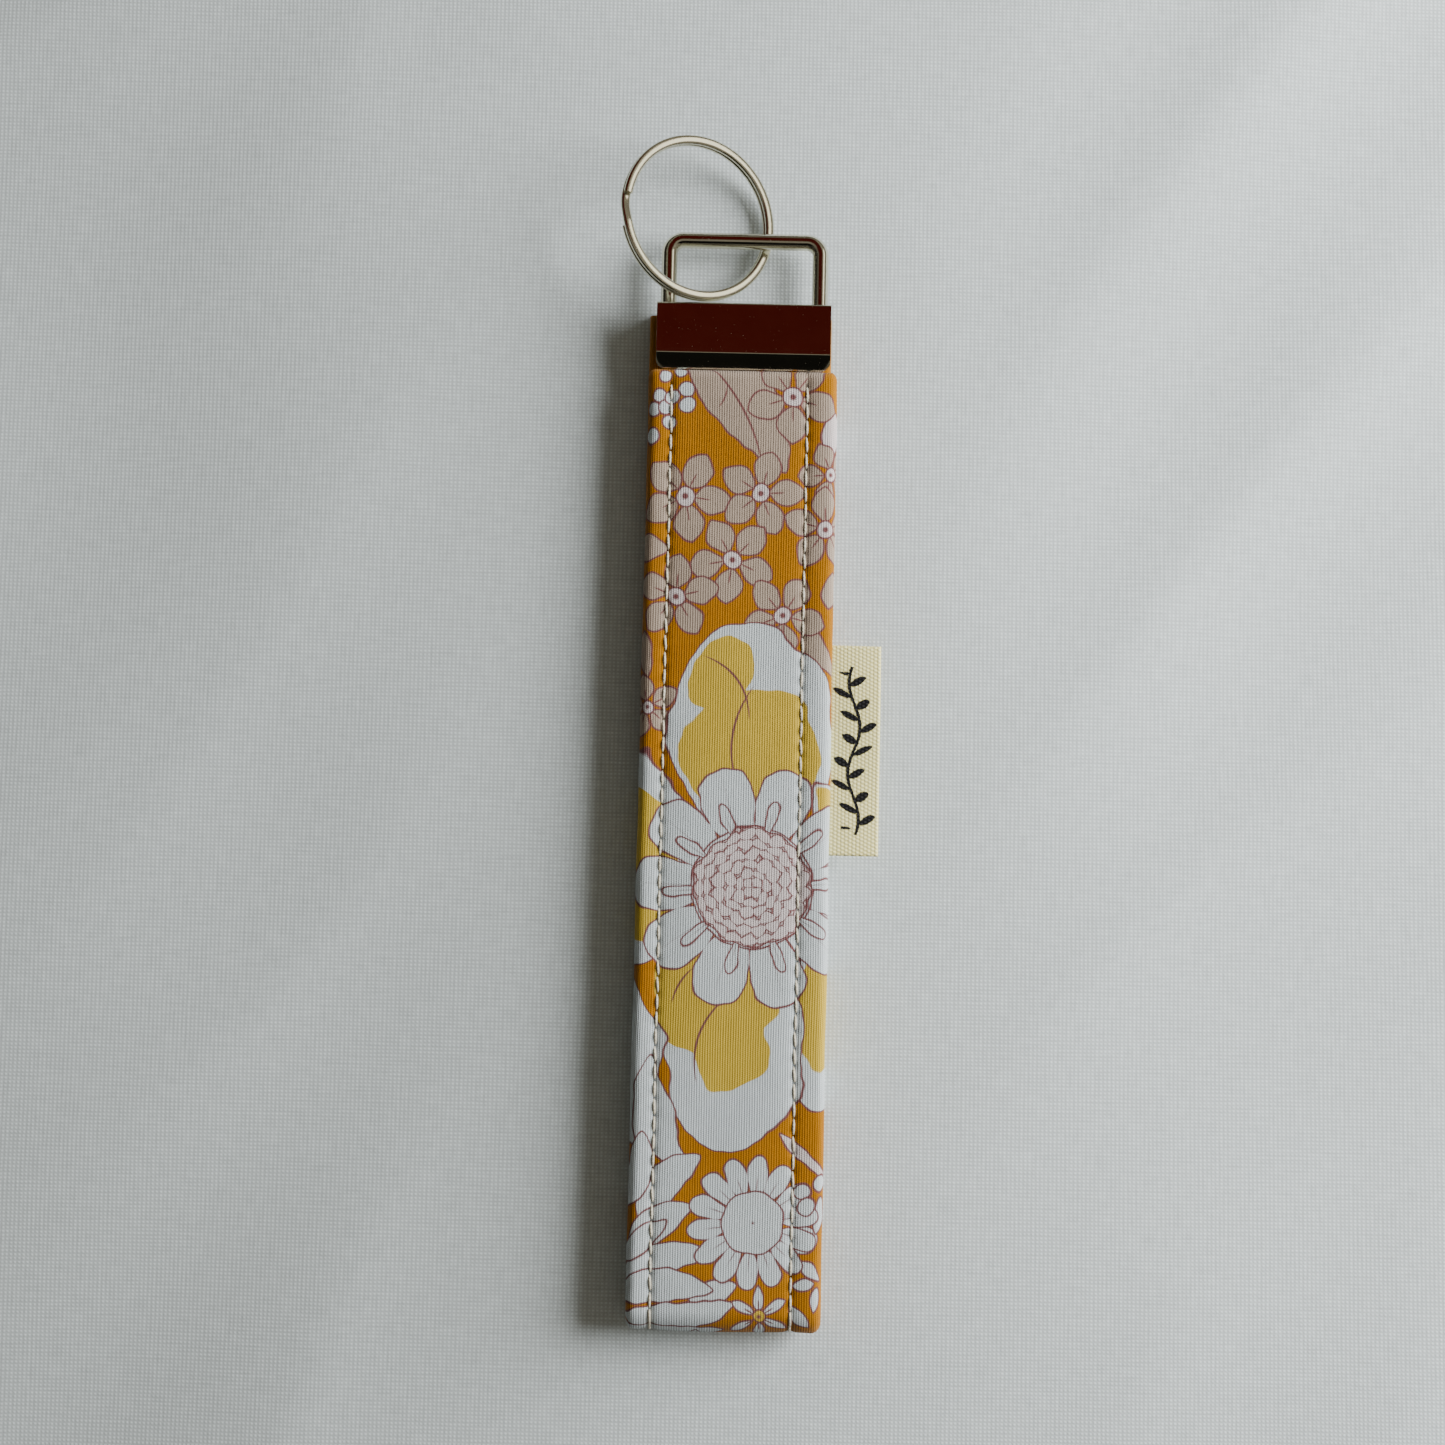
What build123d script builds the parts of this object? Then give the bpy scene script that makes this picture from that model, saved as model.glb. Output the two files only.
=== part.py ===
"""Wristlet key fob: a padded cotton strap folded into a loop, its two ends crimped in a
sheet-metal clamp, with a wire frame riveted to the clamp and a split ring on the frame.

Frame: the fob lies flat. +X runs across the strap, +Y runs from the loop towards the split
ring and +Z is up. The origin is the middle of the clamp's lower jaw, on the surface that
the fob lies on. Millimetres.
"""

import os
from math import cos, radians, sin, sqrt

from build123d import *

# --- Clamp: one piece of pressed sheet, folded round the strap's two ends ---
CLAMP_WIDTH = 26.0
CLAMP_LENGTH = 10.0  # along the strap, from the mouth to the back of the spine
SHEET = 0.8
SPINE_BEND = 1.2  # outside radius of the bends
LIP_LENGTH = 2.3  # the inward lip along each jaw's edge
LIP_DROP = 1.0
LIP_CORNER = 1.5

# --- Wire frame, with its legs riveted through the clamp's spine ---
WIRE = 2.4
LEG_INSET = 1.6  # from the clamp's side to the middle of a leg
FRAME_REACH = 10.4  # from the back of the spine to the middle of the bar
FRAME_BEND = 2.1
RIVET_HEAD = 3.4
RIVET_HEAD_THICKNESS = 0.6
WIRE_CLEARANCE = 0.05

# --- Split ring: nearly two turns of flat wire ---
RING_DIAMETER = 25.0
RING_BAND = 1.4  # width of the wire along the ring's radius
COIL_THICKNESS = 0.73
COIL_GAP = 0.04
RING_SHIFT = 0.28  # how far the ring has slid to the left, as a share of the clamp's width
RING_SPINE_GAP = 0.4  # between the ring and the clamp's spine
RING_TILT = 26.0  # degrees, with its -X side raised
RING_FLOOR_GAP = 0.02
RING_BAR_GAP = 0.15  # between the ring and the frame's bar above it
END_ANGLE = 172.0  # where the top turn ends, from the ring's own +X, in degrees
CRANK_ANGLE = 22.0  # the stretch where the wire climbs from the lower turn to the top one
FREE_END_ARC = 90.0  # the stretch of the top turn that springs open
FREE_END_SLIT = 0.4  # degrees, at the root of that stretch
FREE_END_NOTCH = 1.5  # degrees, between its tip and the crank

# --- Strap: two layers, each a printed cotton sleeve round a fleece core ---
STRAP_OVERHANG = 1.1  # beyond the clamp, on each side
LAYER = 2.8  # thickness of one layer of the folded strap
LAYER_GAP = 1.4
LOOP_LENGTH = 141.0  # from the clamp's mouth to the outside of the fold
COVER_WALL = 0.5
LAYER_EDGE = 1.3  # largest radius of the rounded long edges
CORE_EDGE = 0.7
EDGE_FLAT = 0.1  # the least height of the flat between two rounded edges
LIP_PINCH = 0.05  # clearance between a lip and the layer under it
PINCHED_GAP = 0.1  # between the two layers inside the clamp
STRAP_END_GAP = 0.3  # from the rivet heads to the ends of the strap
SWELL = 4.0  # length over which a layer regains its thickness outside the mouth

# --- Topstitching: a line along each edge, in a shallow furrow ---
LEFT_STITCH_INSET = 3.5
RIGHT_STITCH_INSET = 4.5
FURROW_WIDTH = 0.6
FURROW_DEPTH = 0.3
THREAD_WIDTH = 0.35
THREAD_DEPTH = 0.22

# --- Side label, caught in the strap's right-hand seam ---
LABEL_START = 41.0  # from the clamp's mouth
LABEL_LENGTH = 31.0
LABEL_SHOWN = 7.2
LABEL_SEWN_IN = 6.0
LABEL_THICKNESS = 0.4
LABEL_STANDOFF = 0.25  # from the strap's edge to the part of the label that bends

# --- Bending lines of the loop: a parallelogram, two of its sides this long ---
LOOP_SIDE = 84.0
MOUTH_TO_HINGE = 1.5
HINGE_GAP = 1.5  # between the stretches at a bending line, so that they can turn 45 degrees

# --- Places worked out from the sizes above ---
CLAMP_HEIGHT = 2 * LAYER + LAYER_GAP
STRAP_WIDTH = CLAMP_WIDTH + 2 * STRAP_OVERHANG
FRAME_SPAN = CLAMP_WIDTH - 2 * LEG_INSET
MID_Z = CLAMP_HEIGHT / 2
SPINE_Y = CLAMP_LENGTH / 2
MOUTH_Y = -CLAMP_LENGTH / 2
BAR_Y = SPINE_Y + FRAME_REACH
RIVET_Y = SPINE_Y - SHEET - WIRE_CLEARANCE
STRAP_END_Y = RIVET_Y - RIVET_HEAD_THICKNESS - STRAP_END_GAP
FOLD_OUTSIDE = LAYER + LAYER_GAP / 2
LOWER_Z = MID_Z - LAYER_GAP / 2 - LAYER / 2
UPPER_Z = MID_Z + LAYER_GAP / 2 + LAYER / 2
PINCHED_LAYER = MID_Z - SHEET - LIP_DROP - LIP_PINCH - PINCHED_GAP / 2
PINCHED_OFFSET = (PINCHED_LAYER + PINCHED_GAP) / 2
FOLD_Y = MOUTH_Y - LOOP_LENGTH + FOLD_OUTSIDE
MOUTH_HINGE_Y = MOUTH_Y - MOUTH_TO_HINGE
UPPER_HINGE_Y = MOUTH_HINGE_Y - LOOP_SIDE
FOLD_HINGE_Y = FOLD_Y + HINGE_GAP / 2
LOWER_HINGE_Y = FOLD_HINGE_Y + LOOP_SIDE
LEFT_STITCH_X = -STRAP_WIDTH / 2 + LEFT_STITCH_INSET
RIGHT_STITCH_X = STRAP_WIDTH / 2 - RIGHT_STITCH_INSET
RING_RADIUS = (RING_DIAMETER - RING_BAND) / 2
RING_CENTRE_X = -RING_SHIFT * CLAMP_WIDTH
RING_CENTRE_Y = SPINE_Y + RING_SPINE_GAP + RING_DIAMETER / 2
COIL_RISE = COIL_THICKNESS + COIL_GAP
RING_LOW_REACH = (
    RING_DIAMETER / 2 * sin(radians(RING_TILT))
    + (COIL_RISE + COIL_THICKNESS) / 2 * cos(radians(RING_TILT))
)
RING_CENTRE_Z = RING_FLOOR_GAP + RING_LOW_REACH
BAR_CROSSING = sqrt(RING_RADIUS**2 - (RING_CENTRE_Y - BAR_Y) ** 2)  # in the ring's plane
BAR_CROSSING_X = RING_CENTRE_X + BAR_CROSSING * cos(radians(RING_TILT))
BAR_CROSSING_Z = RING_CENTRE_Z - BAR_CROSSING * sin(radians(RING_TILT))
RING_HALF_HEIGHT = (
    (COIL_RISE + COIL_THICKNESS) / 2 * cos(radians(RING_TILT))
    + RING_BAND / 2 * sin(radians(RING_TILT))
)
FRAME_Z = BAR_CROSSING_Z + RING_HALF_HEIGHT + RING_BAR_GAP + WIRE / 2

os.makedirs("parts", exist_ok=True)


def save(shape, label):
    """Labels a finished sub-part and writes it to its own STEP file."""
    shape.label = label
    export_step(shape, f"parts/{label}.step")


# --- Clamp ---
with BuildPart() as clamp:
    with BuildSketch(Plane.YZ):
        with BuildLine():
            FilletPolyline(
                (MOUTH_Y, LIP_DROP),
                (MOUTH_Y + LIP_LENGTH, 0),
                (SPINE_Y, 0),
                (SPINE_Y, CLAMP_HEIGHT),
                (MOUTH_Y + LIP_LENGTH, CLAMP_HEIGHT),
                (MOUTH_Y, CLAMP_HEIGHT - LIP_DROP),
                radius=SPINE_BEND,
            )
            offset(amount=SHEET, side=Side.LEFT)
        make_face()
    extrude(amount=CLAMP_WIDTH / 2, both=True)
    lip_corners = (
        clamp.edges()
        .filter_by(lambda edge: abs(abs(edge.center().X) - CLAMP_WIDTH / 2) < 1e-3)
        .group_by(Axis.Y)[0]
    )
    fillet(lip_corners, LIP_CORNER)
    with Locations(
        (-FRAME_SPAN / 2, SPINE_Y, FRAME_Z),
        (FRAME_SPAN / 2, SPINE_Y, FRAME_Z),
    ):
        Cylinder(
            WIRE / 2 + WIRE_CLEARANCE,
            4 * SHEET,
            rotation=(90, 0, 0),
            mode=Mode.SUBTRACT,
        )
save(clamp.part, "clamp")

# --- Wire frame ---
with BuildPart() as wire_frame:
    with BuildLine(Plane.XY.offset(FRAME_Z)):
        FilletPolyline(
            (-FRAME_SPAN / 2, RIVET_Y),
            (-FRAME_SPAN / 2, BAR_Y),
            (FRAME_SPAN / 2, BAR_Y),
            (FRAME_SPAN / 2, RIVET_Y),
            radius=FRAME_BEND,
        )
    with BuildSketch(Plane((-FRAME_SPAN / 2, RIVET_Y, FRAME_Z), z_dir=(0, 1, 0))):
        Circle(WIRE / 2)
    sweep()
    with BuildSketch(Plane((0, RIVET_Y, FRAME_Z), x_dir=(1, 0, 0), z_dir=(0, -1, 0))):
        with Locations((-FRAME_SPAN / 2, 0), (FRAME_SPAN / 2, 0)):
            Circle(RIVET_HEAD / 2)
    extrude(amount=RIVET_HEAD_THICKNESS)
save(wire_frame.part, "wire_frame")

# --- Split ring ---
ring_plane = Plane(
    origin=(RING_CENTRE_X, RING_CENTRE_Y, RING_CENTRE_Z),
    x_dir=(cos(radians(RING_TILT)), 0, -sin(radians(RING_TILT))),
    z_dir=(sin(radians(RING_TILT)), 0, cos(radians(RING_TILT))),
)
ring_axis = Axis(ring_plane.origin, ring_plane.z_dir)
LOWER_TURN = -COIL_RISE / 2
TOP_TURN = COIL_RISE / 2


def ring_section(angle, height):
    """The plane across the wire at an angle round the ring, at a height above its middle."""
    radial = ring_plane.x_dir * cos(radians(angle)) + ring_plane.y_dir * sin(radians(angle))
    centre = ring_plane.origin + radial * RING_RADIUS + ring_plane.z_dir * height
    return Plane(centre, x_dir=radial, z_dir=ring_plane.z_dir.cross(radial))


def turn(start, arc, height):
    """Adds an arc of one turn of the wire to the open part."""
    with BuildSketch(ring_section(start, height)) as section:
        RectangleRounded(RING_BAND, COIL_THICKNESS, COIL_THICKNESS / 4)
    revolve(section.sketch, axis=ring_axis, revolution_arc=arc)


def crank(start, steps=6):
    """Adds the stretch where the wire climbs from the lower turn to the top turn."""
    sections = []
    for step in range(steps + 1):
        share = step / steps
        eased = share * share * (3 - 2 * share)
        height = LOWER_TURN + COIL_RISE * eased
        with BuildSketch(ring_section(start + CRANK_ANGLE * share, height)) as section:
            RectangleRounded(RING_BAND, COIL_THICKNESS, COIL_THICKNESS / 4)
        sections.append(section.sketch)
    loft(sections)


free_end_root = END_ANGLE - FREE_END_ARC
crank_top = END_ANGLE + CRANK_ANGLE

with BuildPart() as split_ring:
    turn(crank_top, 360 - CRANK_ANGLE, LOWER_TURN)
    crank(END_ANGLE)
    turn(crank_top, 360 + free_end_root - crank_top, TOP_TURN)
save(split_ring.part, "split_ring")

with BuildPart() as ring_free_end:
    turn(
        free_end_root + FREE_END_SLIT,
        FREE_END_ARC - FREE_END_SLIT - FREE_END_NOTCH,
        TOP_TURN,
    )
save(ring_free_end.part, "ring_free_end")


# --- Strap ---
# A layer's cross-section is drawn on a plane that looks along -Y. Depth is how far it is
# inside the layer's outline: 0 for the sleeve's outside and COVER_WALL for the core.
def across(y, z):
    """The plane across the strap at a place along it, looking towards the fold."""
    return Plane((0, y, z), x_dir=(1, 0, 0), z_dir=(0, -1, 0))


def layer_outline(thickness, depth):
    """Draws a layer's outline in the open sketch, or its core's if depth is the sleeve's
    wall."""
    height = thickness - 2 * depth
    edge = LAYER_EDGE if depth == 0 else CORE_EDGE
    radius = min(edge, (height - EDGE_FLAT) / 2)
    RectangleRounded(STRAP_WIDTH - 2 * depth, height, radius)


def plain_section(y, z, thickness, depth):
    """Sketches one layer's outline, or its core's if depth is the sleeve's wall."""
    with BuildSketch(across(y, z)) as section:
        layer_outline(thickness, depth)
    return section.sketch


def furrowed_section(y, z, depth):
    """Sketches a full layer with a furrow on both faces under each line of stitches."""
    half = LAYER / 2 - depth
    with BuildSketch(across(y, z)) as section:
        layer_outline(LAYER, depth)
        with Locations(
            (LEFT_STITCH_X, half),
            (LEFT_STITCH_X, -half),
            (RIGHT_STITCH_X, half),
            (RIGHT_STITCH_X, -half),
        ):
            Rectangle(FURROW_WIDTH, 2 * FURROW_DEPTH, mode=Mode.SUBTRACT)
    return section.sketch


def thread_section(y, z, x):
    """Sketches the needle thread and the bobbin thread of one line of stitches."""
    level = LAYER / 2 - FURROW_DEPTH + THREAD_DEPTH / 2
    with BuildSketch(across(y, z)) as section:
        with Locations((x, level), (x, -level)):
            Rectangle(THREAD_WIDTH, THREAD_DEPTH)
    return section.sketch


fold_axis = Axis((0, FOLD_Y, MID_Z), (1, 0, 0))


def run(section, start_y, end_y):
    """Adds a straight run of the strap between two places along it."""
    extrude(section, amount=start_y - end_y)


def pinched_end(side, depth):
    """Adds the end of a layer that the clamp holds. side is 1 for the upper layer and -1
    for the lower one, which also swells to its full thickness outside the mouth."""
    pinched_z = MID_Z + side * PINCHED_OFFSET
    end = plain_section(STRAP_END_Y, pinched_z, PINCHED_LAYER, depth)
    run(end, STRAP_END_Y, MOUTH_Y)
    if side < 0:
        loft(
            [
                plain_section(MOUTH_Y, pinched_z, PINCHED_LAYER, depth),
                plain_section(MOUTH_Y - SWELL, LOWER_Z, LAYER, depth),
            ]
        )


# Where each straight stretch starts and ends along the strap, and at what height.
stretches = {
    "lower_near": (MOUTH_Y - SWELL, LOWER_HINGE_Y + HINGE_GAP / 2, LOWER_Z),
    "lower_far": (LOWER_HINGE_Y - HINGE_GAP / 2, FOLD_HINGE_Y + HINGE_GAP / 2, LOWER_Z),
    "upper_near": (MOUTH_HINGE_Y - HINGE_GAP / 2, UPPER_HINGE_Y + HINGE_GAP / 2, UPPER_Z),
    "upper_far": (UPPER_HINGE_Y - HINGE_GAP / 2, FOLD_Y, UPPER_Z),
}

# The label's slot in the seam of the upper near stretch.
label_start_y = MOUTH_Y - LABEL_START
label_middle_y = label_start_y - LABEL_LENGTH / 2
edge_x = STRAP_WIDTH / 2

with BuildPart() as label_slot:
    with Locations((edge_x, label_middle_y, UPPER_Z)):
        Box(2 * LABEL_SEWN_IN, LABEL_LENGTH, LABEL_THICKNESS)

for name, (start_y, end_y, z) in stretches.items():
    with BuildPart() as core:
        run(furrowed_section(start_y, z, COVER_WALL), start_y, end_y)
        if name == "upper_far":
            revolve(
                furrowed_section(end_y, z, COVER_WALL),
                axis=fold_axis,
                revolution_arc=180,
            )
        if name == "lower_near":
            pinched_end(-1, COVER_WALL)
    with BuildPart() as cover:
        run(furrowed_section(start_y, z, 0), start_y, end_y)
        if name == "upper_far":
            revolve(
                furrowed_section(end_y, z, 0),
                axis=fold_axis,
                revolution_arc=180,
            )
        if name == "lower_near":
            pinched_end(-1, 0)
        add(core.part, mode=Mode.SUBTRACT)
        if name == "lower_near":
            add(clamp.part, mode=Mode.SUBTRACT)
        if name == "upper_near":
            add(label_slot.part, mode=Mode.SUBTRACT)
    if name == "upper_near":
        with BuildPart() as core_with_slot:
            add(core.part)
            add(label_slot.part, mode=Mode.SUBTRACT)
        save(core_with_slot.part, f"core_{name}")
    else:
        save(core.part, f"core_{name}")
    save(cover.part, f"cover_{name}")
    for side, stitch_x in (("left", LEFT_STITCH_X), ("right", RIGHT_STITCH_X)):
        with BuildPart() as thread:
            run(thread_section(start_y, z, stitch_x), start_y, end_y)
            if name == "upper_far":
                revolve(
                    thread_section(end_y, z, stitch_x),
                    axis=fold_axis,
                    revolution_arc=180,
                )
        save(thread.part, f"thread_{side}_{name}")

# --- The upper layer's end, inside the clamp ---
with BuildPart() as core_upper_end:
    pinched_end(1, COVER_WALL)
save(core_upper_end.part, "core_upper_end")

with BuildPart() as cover_upper_end:
    pinched_end(1, 0)
    add(core_upper_end.part, mode=Mode.SUBTRACT)
    add(clamp.part, mode=Mode.SUBTRACT)
save(cover_upper_end.part, "cover_upper_end")

# --- Side label: the part sewn into the seam and the flap outside it ---
with BuildPart() as label_sewn_in:
    with Locations((edge_x, label_middle_y, UPPER_Z)):
        Box(
            LABEL_SEWN_IN,
            LABEL_LENGTH,
            LABEL_THICKNESS,
            align=(Align.MAX, Align.CENTER, Align.CENTER),
        )
save(label_sewn_in.part, "label_sewn_in")

with BuildPart() as label_flap:
    with Locations((edge_x + LABEL_STANDOFF, label_middle_y, UPPER_Z)):
        Box(
            LABEL_SHOWN - LABEL_STANDOFF,
            LABEL_LENGTH,
            LABEL_THICKNESS,
            align=(Align.MIN, Align.CENTER, Align.CENTER),
        )
save(label_flap.part, "label_flap")

print(f"ring centre {RING_CENTRE_X:.2f}, {RING_CENTRE_Y:.2f}, {RING_CENTRE_Z:.2f}")
print(f"bar at y {BAR_Y:.2f}, z {FRAME_Z:.3f}")
print(f"ring under the bar at x {BAR_CROSSING_X:.3f}, z {BAR_CROSSING_Z:.3f}")
print(f"bending lines at y {MOUTH_HINGE_Y:.2f}, {UPPER_HINGE_Y:.2f}, z {UPPER_Z:.2f}")
print(f"and at y {LOWER_HINGE_Y:.2f}, {FOLD_HINGE_Y:.2f}, z {LOWER_Z:.2f}")
print(f"fold's middle at y {FOLD_Y:.2f}, z {MID_Z:.2f}")
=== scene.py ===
# %% [markdown]
# # A wristlet keychain, piece by piece
# The object is a key fob: a padded strap of printed cotton folded into a loop, its two ends
# crimped in a bright nickel clamp, a wire frame riveted to the clamp, and a split ring on the
# frame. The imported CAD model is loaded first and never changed. It says where everything is,
# so each piece made below starts from a CAD box or a joint, and takes the CAD node's place.

# %% Load the frame
import math

import bmesh
import bpy
import numpy as np
from mathutils import Matrix, Vector, noise


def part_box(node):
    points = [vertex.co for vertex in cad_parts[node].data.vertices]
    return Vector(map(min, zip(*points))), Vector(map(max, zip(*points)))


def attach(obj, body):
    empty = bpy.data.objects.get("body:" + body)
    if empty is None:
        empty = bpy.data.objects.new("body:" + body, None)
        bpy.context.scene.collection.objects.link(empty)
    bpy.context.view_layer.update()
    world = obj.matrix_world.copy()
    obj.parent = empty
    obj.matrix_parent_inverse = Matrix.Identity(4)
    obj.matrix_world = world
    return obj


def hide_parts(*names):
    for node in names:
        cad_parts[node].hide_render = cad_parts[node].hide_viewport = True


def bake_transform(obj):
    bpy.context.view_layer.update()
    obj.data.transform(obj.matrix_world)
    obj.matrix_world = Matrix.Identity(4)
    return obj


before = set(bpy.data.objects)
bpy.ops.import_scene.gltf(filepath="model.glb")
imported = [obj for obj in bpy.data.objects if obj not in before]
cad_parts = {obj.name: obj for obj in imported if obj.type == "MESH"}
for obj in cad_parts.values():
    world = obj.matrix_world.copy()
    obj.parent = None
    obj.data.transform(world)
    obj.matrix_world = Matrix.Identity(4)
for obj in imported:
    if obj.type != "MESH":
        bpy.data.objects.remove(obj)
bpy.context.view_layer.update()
MM = 0.001  # metres in a millimetre: helpers below work in millimetres


def node_box(name):
    """The low and high corners of a CAD node, in millimetres."""
    low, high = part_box(name)
    return low / MM, high / MM


# %% [markdown]
# ## The sizes everything hangs on
# Reading sizes from the CAD boxes once, and giving them names, keeps the pieces below in
# step with the solids. Only what the CAD doesn't hold, such as the pitch of the stitches,
# is typed in here.

# %% Sizes
clamp_low, clamp_high = node_box("clamp")
MOUTH_Y = clamp_low.y
SPINE_Y = clamp_high.y
STACK = clamp_high.z  # height of both layers, and of the clamp
MID_Z = STACK / 2

upper_low, upper_high = node_box("cover_upper_near")
HALF_WIDTH = upper_high.x
LAYER = upper_high.z - upper_low.z
UPPER_Z = (upper_high.z + upper_low.z) / 2
LOWER_Z = STACK - UPPER_Z
FOLD_RADIUS = STACK / 2  # of the outside of the fold
FOLD_Y = node_box("cover_upper_far")[0].y + FOLD_RADIUS
MIDDLE_RADIUS = UPPER_Z - MID_Z  # of the middle of the layer, round the fold

pinched_low, pinched_high = node_box("cover_upper_end")
PINCHED = pinched_high.z - pinched_low.z
STRAP_END_Y = pinched_high.y
PINCHED_UPPER_Z = (pinched_low.z + pinched_high.z) / 2
PINCHED_LOWER_Z = STACK - PINCHED_UPPER_Z

LEFT_STITCH_X = sum(c.x for c in node_box("thread_left_upper_near")) / 2
RIGHT_STITCH_X = sum(c.x for c in node_box("thread_right_upper_near")) / 2
STITCH_PITCH = 2.5

mouth_hinge_y = MOUTH_Y - 1.5
print(f"layer {LAYER:.2f} mm thick, strap {2 * HALF_WIDTH:.1f} mm wide, fold at y {FOLD_Y:.1f}")

# %% [markdown]
# ## The camera
# The fob is seen from almost straight above, from about a forearm's distance. The camera
# leans a few degrees towards the folded end, which makes that end look a little wider, and
# it is turned by about a degree. It is made first, so that each piece can be looked at as
# soon as it exists.

# %% Camera
LENS = 50.0
CAMERA_TARGET = Vector((-1.92, -57.8, 6.0)) * MM
CAMERA_DISTANCE = 295.3 * MM
CAMERA_TILT = math.radians(4.46)
CAMERA_ROLL = math.radians(1.23)

camera = bpy.data.objects.new("camera", bpy.data.cameras.new("camera"))
bpy.context.scene.collection.objects.link(camera)
bpy.context.scene.camera = camera
camera.data.lens = LENS
camera.data.clip_start = 0.01
camera.data.clip_end = 20.0
back = Vector((0.0, -math.sin(CAMERA_TILT), math.cos(CAMERA_TILT)))
camera.location = CAMERA_TARGET + back * CAMERA_DISTANCE
aim = back.to_track_quat("Z", "Y").to_matrix().to_4x4()
camera.rotation_euler = (aim @ Matrix.Rotation(CAMERA_ROLL, 4, "Z")).to_euler()
print("camera at", [round(c, 3) for c in camera.location])

# %% [markdown]
# ## A notebook for nodes
# Materials here are drawn with many small Math nodes. Making each by hand takes four lines,
# so this helper makes one per call: it adds a node, plugs sockets or plain numbers into its
# inputs, and hands back its output. The arithmetic that is used most has short words.


# %% Node helper
class Recipe:
    """Writes nodes into one tree, one call for each."""

    def __init__(self, tree):
        self.tree = tree

    def add(self, kind, *inputs, **settings):
        """Adds a node. inputs go to its sockets in order, and None leaves one alone."""
        node = self.tree.nodes.new(kind)
        for name, value in settings.items():
            setattr(node, name, value)
        for socket, value in zip(node.inputs, inputs):
            self.plug(socket, value)
        return node

    def make(self, kind, inputs, **settings):
        """Adds a node like add, with its inputs named in a table."""
        node = self.add(kind, **settings)
        for label, value in inputs.items():
            self.plug(node.inputs[label], value)
        return node

    def plug(self, socket, value):
        """Links an output to a socket, or sets the socket's own value."""
        if isinstance(value, bpy.types.NodeSocket):
            self.tree.links.new(value, socket)
        elif value is not None:
            socket.default_value = value

    def math(self, operation, *values, clamp=False):
        return self.add("ShaderNodeMath", *values, operation=operation, use_clamp=clamp).outputs[0]

    def plus(self, a, b):
        return self.math("ADD", a, b)

    def minus(self, a, b):
        return self.math("SUBTRACT", a, b)

    def times(self, a, b):
        return self.math("MULTIPLY", a, b)

    def over(self, a, b):
        return self.math("DIVIDE", a, b)

    def fit(self, value, slope, start):
        """value times slope, plus start."""
        return self.math("MULTIPLY_ADD", value, slope, start)

    def vector(self, x, y, z=0.0):
        return self.add("ShaderNodeCombineXYZ", x, y, z).outputs[0]

    def split(self, vector):
        return self.add("ShaderNodeSeparateXYZ", vector).outputs

    def length(self, x, y):
        sized = self.add("ShaderNodeVectorMath", self.vector(x, y), operation="LENGTH")
        return sized.outputs["Value"]

    def mix(self, share, under, over):
        """under where share is 0 and over where it is 1."""
        node = self.add("ShaderNodeMix", data_type="RGBA")
        self.plug(node.inputs[0], share)
        self.plug(node.inputs[6], under)
        self.plug(node.inputs[7], over)
        return node.outputs[2]

    def darken(self, colour, shade):
        """colour multiplied by a grey."""
        grey = self.add("ShaderNodeCombineColor", shade, shade, shade).outputs[0]
        node = self.add("ShaderNodeMix", data_type="RGBA", blend_type="MULTIPLY")
        self.plug(node.inputs[0], 1.0)
        self.plug(node.inputs[6], colour)
        self.plug(node.inputs[7], grey)
        return node.outputs[2]

    def inside(self, distance, softness):
        """1 where a signed distance is negative, 0 where it is positive, soft at the edge."""
        return self.math("MULTIPLY_ADD", distance, -1.0 / softness, 0.5, clamp=True)

    def noise(self, vector, scale, detail=2.0, roughness=0.5):
        return self.make("ShaderNodeTexNoise", {
            "Vector": vector, "Scale": scale, "Detail": detail, "Roughness": roughness,
        }).outputs["Fac"]

    def stretch(self, vector, scale):
        """vector with each part multiplied by its own number."""
        return self.add("ShaderNodeVectorMath", vector, scale, operation="MULTIPLY").outputs[0]

    def bump(self, height, distance, strength=1.0, under=None):
        """Bump, with distance in metres."""
        return self.make("ShaderNodeBump", {
            "Strength": strength, "Distance": distance, "Height": height, "Normal": under,
        }).outputs[0]


def new_material(name):
    """A material with an empty node tree but for its shader, and the recipe to fill it."""
    material = bpy.data.materials.new(name)
    material.use_nodes = True
    recipe = Recipe(material.node_tree)
    shader = material.node_tree.nodes["Principled BSDF"]
    return material, recipe, shader


def cloth_position(recipe, layer="ClothMap"):
    """The piece's own map, in millimetres along the cloth, as x and y."""
    mapped = recipe.add("ShaderNodeUVMap", uv_map=layer).outputs[0]
    parts = recipe.split(mapped)
    return parts[0], parts[1]


print("node helper ready")

# %% [markdown]
# ## Drawing a print with nodes
# The cotton is printed with flowers, leaves and petals outlined in mauve-brown ink. An image
# would be the quick way, but shapes drawn by arithmetic stay sharp at any distance. Each
# shape is a signed distance: negative inside it and positive outside. The fill goes where it
# is negative and the ink goes where it is nearly zero. A node group holds one shape, and the
# print is a chain of groups, each painting over the colour that the last one handed on.


# %% Group: a petal, leaf, berry or blot
PRINT_SOFTNESS = 0.16  # mm over which the edge of a print colour fades


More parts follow.
